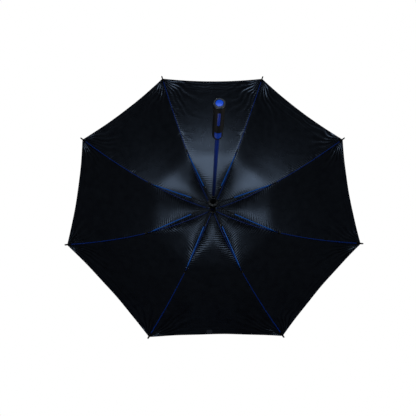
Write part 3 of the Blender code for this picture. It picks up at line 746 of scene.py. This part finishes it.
def cloth_piece(name, index, columns, arc_rows, body):
    """A closed thin sheet over a grid of columns and rows of arcs.

    Normals come from the whole canopy's shape, so pieces meet without a mark.
    """
    points = []
    normals = []
    places = []
    for arc_row in arc_rows:
        for column in columns:
            arc = arc_row(column)
            points.append(grid_point(index, column, arc))
            normals.append(cloth_normal(index, column, arc))
            places.append((column * panel_width(arc), hem_arc(across_of(column)) - arc, arc))
    inner = [point - normal * CLOTH_THICKNESS for point, normal in zip(points, normals)]
    faces, sides = sheet_faces(len(columns), len(arc_rows))
    mesh = bpy.data.meshes.new("cloth")
    mesh.from_pydata([tuple(v) for v in points + inner], [], faces)
    for layer in ("hem", "gore"):
        mesh.uv_layers.new(name=layer)
    hem = mesh.uv_layers["hem"]
    gore = mesh.uv_layers["gore"]
    loop_normals = []
    for polygon, side in zip(mesh.polygons, sides):
        for corner in polygon.loop_indices:
            vertex = mesh.loops[corner].vertex_index % len(points)
            beside, from_hem, arc = places[vertex]
            hem.data[corner].uv = (beside, from_hem)
            gore.data[corner].uv = (beside, arc)
            loop_normals.append(tuple(normals[vertex] * side) if side else tuple(polygon.normal))
    mesh.shade_smooth()
    mesh.normals_split_custom_set(loop_normals)
    item = piece(name, mesh, CLOTH, body, ["canopy"])
    gathered(item)


def make_canopy():
    """Cloth over every rib, in an inner and an outer piece."""
    inner_length = KNEE_ARC - CROWN_ARC

    def level(arc):
        return lambda column: arc

    def down_to_hem(share):
        return lambda column: KNEE_ARC + (hem_arc(across_of(column)) - KNEE_ARC) * share

    columns = station_columns()
    inner_rows = [level(CROWN_ARC + inner_length * (k / INNER_ROWS) ** 1.15) for k in range(INNER_ROWS + 1)]
    outer_rows = [down_to_hem(1.0 - (1.0 - k / OUTER_ROWS) ** 1.25) for k in range(OUTER_ROWS + 1)]
    for index in range(STATIONS):
        number = index + 1
        cloth_piece("canopy_inner_%d" % number, index, columns, inner_rows,
                    "rib_%d" % number)
        cloth_piece("canopy_outer_%d" % number, index, columns, outer_rows,
                    "outer_%d" % number)


def flat_coordinates(mesh):
    """Cloth coordinates of a piece lying flat, well away from hem and seams."""
    for name in ("hem", "gore"):
        layer = mesh.uv_layers.new(name=name)
        for loop in mesh.loops:
            spot = mesh.vertices[loop.vertex_index].co
            layer.data[loop.index].uv = (0.2 + spot.x, 0.6 + spot.y)


def make_crown():
    """Centre of the cloth, clamped between the hub and the ferrule."""
    mesh = turned([(CROWN_HOLE, CROWN_Z - CLOTH_THICKNESS), (CROWN_RADIUS, CROWN_Z - CLOTH_THICKNESS),
                   (CROWN_RADIUS, CROWN_Z), (CROWN_HOLE, CROWN_Z)])
    flat_coordinates(mesh)
    item = piece("canopy_crown", mesh, CLOTH, "root", ["canopy"])


# ---- closing strap -----------------------------------------------------------
STRAP_WIDTH = 0.018
STRAP_LENGTH = 0.120
PATCH_SIZE = 0.020
STRAP_PANEL = 5
STRAP_PLACE = 0.55


def strap_piece(name, lifts, start, length, width, stands_for):
    """A strip of ribbon that follows the cloth inward from just inside the hem."""
    index = STRAP_PANEL + 1
    rows = 24
    columns = 8
    vertices = []
    for lift in lifts:
        for row in range(rows + 1):
            arc = hem_arc(STRAP_PLACE) - start - length * row / rows
            for column in range(columns + 1):
                across = STRAP_PLACE + (column / columns - 0.5) * width / panel_width(arc)
                normal = cloth_normal(index, across - 1.0, arc)
                vertices.append(cloth_point(STRAP_PANEL, across, arc) + normal * lift)
    faces = sheet_faces(columns + 1, rows + 1)[0]
    item = piece(name, finished_mesh(vertices, faces), TRIM, "outer_%d" % (index + 1), stands_for)
    gathered(item)


def make_strap():
    """Closing strap sewn at the hem, and its stitched patch inside the canopy."""
    strap_piece("strap_band", (0.0009, 0.0019), 0.004, STRAP_LENGTH, STRAP_WIDTH, ["tie_strap"])
    strap_piece("strap_patch", (-0.0012, -0.0006), 0.003, PATCH_SIZE, PATCH_SIZE, ())


# ---- ribs, stretchers, struts ------------------------------------------------
def tie_thread():
    """Three turns of thread round a rib, standing across it."""
    loops = []
    for turn in (-1, 0, 1):
        ring = turned(arc_points(RIB_RADIUS + 0.00045, 0.0005 * turn, 0.0002, 0, 315, 45), 24)
        ring.transform(Matrix.Rotation(math.pi / 2, 4, "Y"))
        loops.append(ring)
    return joined(loops)


def make_ribs():
    """Blue rod from the hub's eye to the tip, bending smoothly at the knee."""
    bays = 84
    root_arc = 0.0130
    bay = (TIP_ARC + 0.010 - root_arc) / bays
    arcs = [0.0, 0.0018, 0.0060, 0.0100, root_arc] + [root_arc + bay * k for k in range(1, bays + 1)]
    widths = [0.0010, 0.0012, 0.0012, 0.0012, 0.0017] + [RIB_RADIUS] * (bays + 1)
    heights = [0.0015, 0.0023, 0.0025, 0.0023, 0.0021] + [RIB_RADIUS] * (bays + 1)
    points = [NOTCH_PIVOT + Vector((-0.0024, 0.0, 0.0002))] + [rib_point(arc) for arc in arcs]
    rod = shaped(lofted(points, widths, heights, 16),
                 [("DIFFERENCE", pin(NOTCH_PIVOT, 0.0009, -0.004, 0.004))])
    tip_arcs = [0.0000, 0.0006, 0.0020, 0.0105, 0.0128, 0.0142, 0.0232, 0.0258, 0.0270, 0.0275]
    tip_radii = [0.0012, 0.00235, 0.0026, 0.0026, 0.0030, 0.0031, 0.0030, 0.0025, 0.0015, 0.0006]
    tip = lofted([rib_point(TIP_ARC + arc) for arc in tip_arcs], tip_radii, tip_radii)
    kinds = [("rib_rod_%d", rod, RIB_BLUE, None, ["rib_%d", "rib_outer_%d"]),
             ("rib_tip_%d", tip, NYLON, "outer_%d", ())]
    for order, arc in enumerate(TIE_ARCS):
        thread = tie_thread()
        thread.transform(Matrix.Translation(rib_point(arc)) @ Matrix.Rotation(rib_slope(arc), 4, "Y"))
        body = "rib_%d" if arc < KNEE_ARC else "outer_%d"
        kinds.append(("tie_thread_%%d_%d" % (order + 1), thread, THREAD, body, ()))
    at_stations(*kinds)


def make_knees():
    """Moulded connector on each rib, with two ears and a pin."""
    # distance along the rib from the knee, shift off it, half width, half height
    stations = [(-0.0125, -0.0002, 0.0025, 0.0024), (-0.0120, -0.0003, 0.0029, 0.0028),
                (-0.0090, -0.0010, 0.0034, 0.0031), (-0.0050, -0.0012, 0.0037, 0.0033),
                (0.0000, -0.0012, 0.0038, 0.0033), (0.0080, -0.0012, 0.0038, 0.0033),
                (0.0180, -0.0011, 0.0035, 0.0032), (0.0240, -0.0008, 0.0032, 0.0029),
                (0.0292, -0.0004, 0.0029, 0.0026), (0.0300, -0.0003, 0.0025, 0.0023)]
    centres = [rib_point(KNEE_ARC + along) + rib_normal(KNEE_ARC + along) * away
               for along, away, _, _ in stations]
    body = lofted(centres, [wide for _, _, wide, _ in stations], [high for _, _, _, high in stations], 24)
    outline = arc_points(KNEE.x, KNEE.z, 0.0034, 180, 360, 15)
    outline += [(KNEE.x + 0.0062, KNEE.z + 0.0030), (KNEE.x + 0.0050, KNEE.z + 0.0050),
                (KNEE.x - 0.0040, KNEE.z + 0.0058)]
    ears = prism(outline, -0.0034, 0.0034)
    slot = block((KNEE.x - 0.0080, -0.0015, KNEE.z - 0.0080), (KNEE.x + 0.0140, 0.0015, KNEE.z + 0.0031))
    collar = lofted([rib_point(KNEE_ARC + along) + rib_normal(KNEE_ARC) * -0.0009
                     for along in (0.0198, 0.0222)], [0.0039] * 2, [0.0035] * 2, 24)
    knee = shaped(body, [("UNION", ears), ("UNION", collar), ("DIFFERENCE", slot)], 0.0003)
    rivet = joined([pin(KNEE, 0.0011, -0.0036, 0.0036), pin(KNEE, 0.0017, 0.0034, 0.0041),
                    pin(KNEE, 0.0017, -0.0041, -0.0034)])
    at_stations(("knee_%d", knee, NYLON, None, ["rib_connector_%d"]),
                ("knee_pin_%d", rivet, STEEL, "outer_%d", ()))


def make_stretchers():
    """Blue bar with a moulded clip at the elbow and a black end to the runner."""
    along = (RUNNER_PIVOT - KNEE).normalized()
    length = (RUNNER_PIVOT - KNEE).length
    elbow = (ELBOW - KNEE).length
    blue = [(-0.0024, 0.0008, 0.0013), (-0.0016, 0.0012, 0.0022), (0.0, 0.0012, 0.0025),
            (0.0080, 0.0012, 0.0025), (0.0100, 0.0013, 0.0025), (0.0130, 0.0021, 0.0025)]
    blue += [(0.0160 + (elbow - 0.0100 - 0.0160) * k / 6, 0.0025, 0.0025) for k in range(7)]
    blue_bar = shaped(bar(KNEE, along, blue), [("DIFFERENCE", pin(KNEE, 0.0012, -0.01, 0.01))])
    black = [(elbow - 0.0104, 0.0023, 0.0023), (elbow - 0.0100, 0.0026, 0.0028),
             (elbow - 0.0050, 0.0027, 0.0032), (elbow + 0.0050, 0.0027, 0.0032),
             (elbow + 0.0090, 0.0025, 0.0028), (length - 0.0150, 0.0023, 0.0026),
             (length - 0.0100, 0.0016, 0.0025), (length - 0.0085, 0.0012, 0.0025),
             (length, 0.0012, 0.0025), (length + 0.0016, 0.0012, 0.0022), (length + 0.0024, 0.0008, 0.0013)]
    end = shaped(bar(KNEE, along, black), [("DIFFERENCE", pin(RUNNER_PIVOT, 0.0009, -0.01, 0.01))])
    at_stations(("stretcher_bar_%d", blue_bar, BAR_BLUE, "stretcher_%d", ["stretcher_%d"]),
                ("stretcher_end_%d", end, NYLON, "stretcher_%d", ()))


def make_struts():
    """Thin flat struts with a riveted elbow and a hooked eye on the slider."""
    along = (SLIDER_PIVOT - ELBOW).normalized()
    length = (SLIDER_PIVOT - ELBOW).length
    shape = [(-0.0028, 0.0012), (-0.0020, 0.0021), (0.0, 0.0027), (0.0020, 0.0026), (0.0060, 0.0019),
             (length - 0.0060, 0.0019), (length - 0.0018, 0.0023), (length, 0.0023),
             (length + 0.0016, 0.0020), (length + 0.0024, 0.0011)]
    blank = bar(ELBOW + ACROSS * STRUT_OFFSET, along, [(at, 0.00095, high) for at, high in shape])
    # the eye opens in a mouth that widens toward the shaft
    eye_radius = 0.0011
    turn = math.radians(182.0)
    reach_x = eye_radius * math.sin(turn)
    reach_z = eye_radius * math.cos(turn)
    mouth = [(SLIDER_PIVOT.x - reach_x, SLIDER_PIVOT.z + reach_z),
             (SLIDER_PIVOT.x + reach_x, SLIDER_PIVOT.z - reach_z),
             (SLIDER_PIVOT.x + reach_x - 0.006, SLIDER_PIVOT.z - reach_z - 0.0006),
             (SLIDER_PIVOT.x - reach_x - 0.006, SLIDER_PIVOT.z + reach_z + 0.0012)]
    strut = shaped(blank, [("DIFFERENCE", pin(SLIDER_PIVOT, eye_radius, 0.0, 0.01)),
                           ("DIFFERENCE", prism(mouth, 0.0, 0.01))], 0.00015)
    rivet = joined([pin(ELBOW, 0.0012, -0.0032, 0.0050), pin(ELBOW, 0.0019, 0.0048, 0.0056),
                    pin(ELBOW, 0.0019, -0.0038, -0.0030)])
    at_stations(("strut_bar_%d", strut, NYLON, "strut_%d", ["strut_%d"]),
                ("elbow_rivet_%d", rivet, STEEL, "strut_%d", ()))


# ---- hub, runner, slider -----------------------------------------------------
def radial_slots(floor, width, centre_y, low_z, high_z):
    """One slot at every station, from a floor radius outward."""
    blocks = []
    for index in range(STATIONS):
        mesh = block((floor, centre_y - width / 2, low_z), (0.035, centre_y + width / 2, high_z))
        mesh.transform(station_matrix(index))
        blocks.append(mesh)
    return joined(blocks)


def wire_groove(radius, height, top):
    """The groove that holds a wire ring, as outline points from outside to inside."""
    return [(radius + 0.0010, top), (radius + 0.0010, height - 0.0010),
            (radius - 0.0010, height - 0.0010), (radius - 0.0010, top)]


def make_hub(name, outline, slots, body):
    """A slotted moulding round the shaft."""
    mesh = shaped(turned(outline), [("DIFFERENCE", slots)], 0.00025)
    piece(name, mesh, NYLON, body, [name.split("_")[0]])


def make_wire(name, radius, height, body):
    """The ring of wire that the eyes turn on."""
    piece(name + "_loop", turned(arc_points(radius, height, 0.0006, 0, 315, 45)), STEEL, body, [name])


def make_notch():
    """Fixed hub at the top of the shaft."""
    r, z = NOTCH_PIVOT.x, NOTCH_PIVOT.z
    outline = [(HUB_BORE, z - 0.0100), (0.0110, z - 0.0100), (0.0112, z - 0.0045), (0.0140, z - 0.0040),
               (0.0178, z - 0.0036), (0.0178, z + 0.0028)]
    outline += wire_groove(r, z, z + 0.0030)
    outline += [(0.0112, z + 0.0034), (0.0110, z + 0.0050), (HUB_BORE, z + 0.0050)]
    slots = radial_slots(0.0118, 0.0030, 0.0, z - 0.012, z + 0.012)
    make_hub("notch_hub", outline, slots, "root")
    make_wire("notch_wire", r, z, "root")


ROSETTE_RADII = [0.0076, 0.0120, 0.0160, 0.0200, 0.0222, 0.0238]
ROSETTE_STEPS = 4 * 48


def pinked(radius, height, step):
    """Saw teeth round the rosette's edge, and a shallow wave over it."""
    edge = ROSETTE_RADII[-1]
    saw = abs((step % 4) / 2.0 - 1.0) * 0.0010 if radius == edge else 0.0
    lift = 0.0002 * math.sin(5.0 * 2.0 * math.pi * step / ROSETTE_STEPS) * radius / edge
    return radius - saw, height + lift


def make_rosette():
    """Pinked fabric disc between the hub and the canopy."""
    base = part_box("rosette")[0][2]
    profile = [(radius, base + 0.0001) for radius in ROSETTE_RADII]
    profile += [(radius, base + 0.0007) for radius in reversed(ROSETTE_RADII)]
    mesh = turned(profile, ROSETTE_STEPS, pinked)
    flat_coordinates(mesh)
    item = piece("rosette_disc", mesh, CLOTH, "root", ["rosette"])


def make_runner():
    """Upper runner, which carries the stretchers."""
    r, z = RUNNER_PIVOT.x, RUNNER_PIVOT.z
    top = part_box("runner")[1][2]
    outline = [(SLEEVE_BORE, z - 0.0050), (0.0110, z - 0.0050), (0.0172, z - 0.0048), (0.0178, z - 0.0042),
               (0.0178, z + 0.0028), (0.0172, z + 0.0034)]
    outline += wire_groove(r, z, z + 0.0034)
    outline += [(0.0112, z + 0.0038), (0.0106, z + 0.0060), (0.0103, z + 0.0110), (0.0106, z + 0.0118),
                (0.0106, z + 0.0140), (0.0098, top), (SLEEVE_BORE, top)]
    slots = radial_slots(0.0118, 0.0030, 0.0, z - 0.012, z + 0.010)
    make_hub("runner_crown", outline, slots, "runner")
    make_wire("runner_wire", r, z, "runner")


def make_slider():
    """Lower slider with its long sleeve, which carries the struts, and its band."""
    z = SLIDER_PIVOT.z
    r = math.hypot(SLIDER_PIVOT.x, STRUT_OFFSET)
    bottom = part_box("slider")[0][2]
    low, high = (corner[2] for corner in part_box("slider_ring"))
    outline = [(SLEEVE_BORE, bottom), (0.0097, bottom), (0.0102, bottom + 0.0003), (0.0105, bottom + 0.0012),
               (0.0105, low - 0.0003), (0.0098, low - 0.0003), (0.0098, high + 0.0003),
               (0.0105, high + 0.0003), (0.0105, z - 0.0110), (0.0109, z - 0.0085), (0.0140, z - 0.0042),
               (0.0226, z - 0.0038), (0.0232, z - 0.0030), (0.0232, z + 0.0022), (0.0228, z + 0.0028)]
    outline += wire_groove(r, z, z + 0.0028)
    outline += [(0.0092, z + 0.0028), (0.0092, bottom + 0.0030), (SLEEVE_BORE, bottom + 0.0030)]
    slots = radial_slots(0.0150, 0.0026, STRUT_OFFSET, z - 0.012, z + 0.012)
    make_hub("slider_sleeve", outline, slots, "slider")
    band = rounded([(0.0101, low), (0.0109, low), (0.0109, high), (0.0101, high)], 0.0003)
    piece("slider_band", turned(band), STEEL, "slider", ["slider_ring"])
    make_wire("slider_wire", r, z, "slider")


def make_spring():
    """Round-wire opening spring with closed ends."""
    box_low, box_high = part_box("main_spring")
    wire_radius = 0.00065
    coil_radius = 0.00835
    bottom = box_low[2] + wire_radius
    top = box_high[2] - wire_radius
    coils = 14
    steps = 40
    count = coils * steps
    sides = 10
    vertices = []
    for index in range(count + 1):
        turns = index / steps
        rise = min(1.0, max(0.0, (turns - 1.0) / (coils - 2.0)))
        angle = 2.0 * math.pi * turns
        outward = Vector((math.cos(angle), math.sin(angle), 0.0))
        centre = outward * coil_radius + UPWARD * (bottom + (top - bottom) * rise)
        for side in range(sides):
            turn = 2.0 * math.pi * side / sides
            vertices.append(centre + outward * (wire_radius * math.cos(turn))
                            + UPWARD * (wire_radius * math.sin(turn)))
    faces = [tuple(range(sides)), tuple(range(count * sides, (count + 1) * sides))]
    for index in range(count):
        first = index * sides
        for side in range(sides):
            after = (side + 1) % sides
            faces.append((first + side, first + after, first + sides + after, first + sides + side))
    item = piece("opening_spring", finished_mesh(vertices, faces), STEEL, "runner", ["main_spring"])
    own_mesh(item)


def make_shaft():
    """Painted tube and the stop pin through it."""
    low, high = (corner[2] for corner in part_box("shaft"))
    outline = rounded([(SHAFT_RADIUS, low), (SHAFT_RADIUS, high), (SHAFT_BORE, high), (SHAFT_BORE, low)],
                      0.0003)
    pin_place = middle("stop_pin")
    tube = shaped(turned(outline), [("DIFFERENCE", pin(pin_place, 0.0016, -0.02, 0.02))])
    piece("shaft_tube", tube, PAINT, "root", ["shaft"])
    ends = [-0.0089, -0.0086, -0.0080, 0.0080, 0.0086, 0.0089]
    radii = [0.0006, 0.0010, 0.00125, 0.00125, 0.0010, 0.0006]
    rod = lofted([Vector((0.0, y, pin_place.z)) for y in ends], radii, radii, 20, OUTWARD)
    piece("stop_pin_rod", rod, STEEL, "root", ["stop_pin"])


def make_ferrule():
    """Flange over the canopy, a collar and the long point."""
    bottom, top = (corner[2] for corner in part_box("ferrule"))
    outline = [(HUB_BORE, bottom), (0.0136, bottom), (0.0142, bottom + 0.0006), (0.0142, bottom + 0.0016),
               (0.0134, bottom + 0.0022), (0.0112, bottom + 0.0032), (0.0102, bottom + 0.0048),
               (0.0096, bottom + 0.0080), (0.0094, SHAFT_TOP + 0.0030), (0.0098, SHAFT_TOP + 0.0034),
               (0.0098, SHAFT_TOP + 0.0048), (0.0088, SHAFT_TOP + 0.0056), (0.0068, SHAFT_TOP + 0.0080),
               (0.0060, SHAFT_TOP + 0.0120), (0.0054, top - 0.0120), (0.0050, top - 0.0050),
               (0.0042, top - 0.0022), (0.0028, top - 0.0006), (0.0012, top), (0.0, top),
               (0.0, SHAFT_TOP + 0.0008), (HUB_BORE, SHAFT_TOP + 0.0008)]
    piece("ferrule_cap", turned(outline), NYLON, "root", ["ferrule"])


# ---- handle ------------------------------------------------------------------
HANDLE_RADIUS = 0.0165
HOUSING_CORE = 0.0134
SHAFT_SEAT = 0.0317
BORE_FLOOR = 0.1140


def d_outline(width, bottom, top, corner):
    """D shape seen from the front: flat below with small corners, round above."""
    half = width / 2
    foot = arc_points(corner - half, bottom + corner, corner, 180, 270, 15)
    foot += arc_points(half - corner, bottom + corner, corner, 270, 360, 15)
    return foot + arc_points(0.0, top - half, half, 0, 180, 6)


def make_housing():
    """Handle shell with a bore for the closed slider and a pocket for the button."""
    low, high = (corner[2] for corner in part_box("handle_housing"))
    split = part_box("grip_sleeve")[1][2] + 0.0003
    lip = 0.0036
    outline = [(HUB_BORE, SHAFT_SEAT), (0.0, SHAFT_SEAT), (0.0, low), (HOUSING_CORE, low),
               (HOUSING_CORE, split), (HANDLE_RADIUS - 0.0005, split), (HANDLE_RADIUS, split + 0.0005)]
    outline += arc_points(HANDLE_RADIUS - lip, high - 0.0130, lip, 0, 90, 9, 0.0130)
    outline += [(0.0118, high), (0.0113, high - 0.0004), (0.0113, BORE_FLOOR), (HUB_BORE, BORE_FLOOR)]
    b_low, b_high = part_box("push_button")
    travel = JOINTS["button_press"]["range_m"][1]
    pocket = prism(d_outline(b_high[0] - b_low[0] + 0.0006, b_low[2] - 0.0003, b_high[2] + 0.0003, 0.0012),
                   -0.03, b_high[1] + travel + 0.0002)
    mesh = shaped(turned(outline, 128), [("DIFFERENCE", pocket)])
    piece("handle_shell", mesh, HOUSING, "root", ["handle_housing"])


def make_button():
    """Push button with a crowned face and three grooves."""
    low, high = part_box("push_button")
    blank = prism(d_outline(high[0] - low[0], low[2], high[2], 0.0010), -0.03, high[1])
    steps = [("INTERSECT", turned([(0.0, 0.1), (0.0182, 0.1), (0.0182, 0.2), (0.0, 0.2)], 160))]
    for order in range(3):
        height = low[2] + 0.0055 + 0.0032 * order
        groove = turned([(0.0178, height - 0.0005), (0.0192, height - 0.0009), (0.0192, height + 0.0009),
                         (0.0178, height + 0.0005)], 160)
        steps.append(("DIFFERENCE", groove))
    piece("button_cap", shaped(blank, steps, 0.0005), BUTTON_BLUE, "button", ["push_button"])


def stadium(half, bottom, top):
    """Upright bar with round ends, as (x, z) points."""
    return arc_points(0.0, top - half, half, 0, 180, 15) + arc_points(0.0, bottom + half, half, 180, 360, 15)


def make_grip():
    """Rubber sleeve, slightly waisted, with an inlaid stripe."""
    inner = 0.0137
    bottom, top = (corner[2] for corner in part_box("grip_sleeve"))
    outline = [(inner, bottom)]
    rows = 60
    for row in range(rows + 1):
        share = row / rows
        edge = min(share, 1.0 - share) * (top - bottom)
        ease = 0.0008 * max(0.0, 1.0 - edge / 0.0012) ** 2
        outline.append((HANDLE_RADIUS + 0.0006 * math.cos(2.0 * math.pi * share) - ease,
                        bottom + (top - bottom) * share))
    outline.append((inner, top))
    low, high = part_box("grip_stripe")
    half = (high[0] - low[0]) / 2
    recess = prism(stadium(half + 0.0002, low[2] - 0.0002, high[2] + 0.0002), -0.03, -0.0143)
    piece("grip_cover", shaped(turned(outline, 128), [("DIFFERENCE", recess)]), RUBBER, "root",
          ["grip_sleeve"])
    blank = prism(stadium(half, low[2], high[2]), -0.03, -0.0146)
    crown = turned([(0.0, 0.0), (0.0161, 0.0), (0.0161, 0.2), (0.0, 0.2)], 160)
    piece("grip_stripe_inlay", shaped(blank, [("INTERSECT", crown)], 0.0002), STRIPE_BLUE, "root",
          ["grip_stripe"])


def make_end_cap():
    """Grey ring round a slightly domed blue disc."""
    radius, _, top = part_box("end_cap_ring")[1]
    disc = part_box("end_cap_disc")[1][0]
    outline = rounded([(disc + 0.0003, 0.0008), (disc + 0.0008, 0.0), (radius - 0.0022, 0.0),
                       (radius - 0.0004, 0.0014), (radius, 0.0032), (radius - 0.0008, top), (0.0, top),
                       (0.0, 0.0034), (disc + 0.0003, 0.0034)], 0.0006)
    piece("end_ring", turned(outline, 128), GREY, "root", ["end_cap_ring"])
    dome = [(0.0, 0.0030), (disc - 0.0001, 0.0030), (disc - 0.0001, 0.0016), (disc - 0.0004, 0.0011)]
    steps = 14
    for step in range(steps + 1):
        share = 1.0 - step / steps
        dome.append(((disc - 0.0008) * share, 0.0009 * share * share))
    piece("end_disc", turned(dome, 128), DISC_BLUE, "root", ["end_cap_disc"])


# ---- studio ------------------------------------------------------------------
FLOOR_SIZE = 8.0
FLOOR_Z = -1.35
LENS = 29.28
CAMERA_PLACE = (0.04215, -0.57649, -0.73396)
CAMERA_RIGHT = Vector((-0.99992, -0.00687, -0.01055))
CAMERA_UP = Vector((-0.00267, 0.93441, -0.35618))
WHITE = (1.0, 1.0, 1.0)
# name, place, target, width, length, watts, colour
LIGHTS = [
    ("low_softbox", (0.05, 0.00, -0.9), (0.05, 0.00, 0.8), 0.72, 0.98, 10.5, (0.80, 0.90, 1.0)),
    ("key_softbox", (1.6, -2.2, 1.6), (0.0, 0.0, 0.9), 1.4, 1.4, 40.0, WHITE),
    ("fill_softbox", (-2.2, -1.2, 1.2), (0.0, 0.0, 0.4), 1.6, 1.6, 30.0, WHITE),
    ("top_softbox", (0.3, 1.6, 2.6), (0.0, 0.0, 0.8), 2.0, 2.0, 60.0, WHITE),
]


def make_floor():
    """Pale floor, seen by the camera only, so it throws no light back up."""
    paint = Shader("floor_paint", (0.80, 0.80, 0.81, 1.0), 0.7)
    tone = paint.noise(paint.place(), 1.5, 2.0)
    paint.drive("Base Color", paint.ramp(tone, 0.3, 0.7, (0.78, 0.78, 0.79, 1.0), (0.82, 0.82, 0.83, 1.0)))
    corners = [(x * FLOOR_SIZE, y * FLOOR_SIZE, 0.0) for x, y in ((-1, -1), (1, -1), (1, 1), (-1, 1))]
    mesh = finished_mesh(corners, [(0, 1, 2, 3)])
    mesh.materials.append(paint.material)
    floor = bpy.data.objects.new("floor", mesh)
    floor.location = (0.0, 0.0, FLOOR_Z)
    floor.visible_diffuse = False
    floor.visible_glossy = False
    bpy.context.scene.collection.objects.link(floor)


def make_world():
    """White to the camera, a softer pale light on the object."""
    world = bpy.data.worlds.new("studio")
    bpy.context.scene.world = world
    world.use_nodes = True
    tree = world.node_tree
    tree.nodes.clear()
    path = tree.nodes.new("ShaderNodeLightPath")
    mix = tree.nodes.new("ShaderNodeMixShader")
    out = tree.nodes.new("ShaderNodeOutputWorld")
    tree.links.new(path.outputs["Is Camera Ray"], mix.inputs[0])
    tree.links.new(mix.outputs[0], out.inputs[0])
    for socket, colour, strength in ((1, (0.90, 0.95, 1.0, 1.0), 0.05), (2, (1.0, 1.0, 1.0, 1.0), 1.0)):
        background = tree.nodes.new("ShaderNodeBackground")
        background.inputs["Color"].default_value = colour
        background.inputs["Strength"].default_value = strength
        tree.links.new(background.outputs[0], mix.inputs[socket])


def area_light(name, place, target, width, length, power, colour):
    data = bpy.data.lights.new(name, "AREA")
    data.shape = "RECTANGLE"
    data.size = width
    data.size_y = length
    data.energy = power
    data.color = colour
    light = bpy.data.objects.new(name, data)
    light.location = place
    light.visible_camera = False
    light.rotation_euler = (Vector(target) - Vector(place)).to_track_quat("-Z", "Y").to_euler()
    bpy.context.scene.collection.objects.link(light)


def make_camera():
    """Looking up past the handle's end into the open canopy."""
    data = bpy.data.cameras.new("camera")
    data.sensor_width = 36.0
    data.lens = LENS
    camera = bpy.data.objects.new("camera", data)
    back = CAMERA_RIGHT.cross(CAMERA_UP)
    turn = Matrix((CAMERA_RIGHT, CAMERA_UP, back)).transposed().to_4x4()
    camera.matrix_world = Matrix.Translation(CAMERA_PLACE) @ turn
    bpy.context.scene.collection.objects.link(camera)
    bpy.context.scene.camera = camera


def main():
    bpy.context.scene.view_settings.view_transform = "Standard"
    make_camera()
    make_world()
    make_floor()
    for light in LIGHTS:
        area_light(*light)
    for make in (make_shaft, make_ferrule, make_notch, make_rosette, make_runner, make_slider, make_spring,
                 make_ribs, make_knees, make_stretchers, make_struts, make_housing, make_button, make_grip,
                 make_end_cap, make_crown, make_canopy, make_strap):
        make()


main()

bpy.context.view_layer.update()
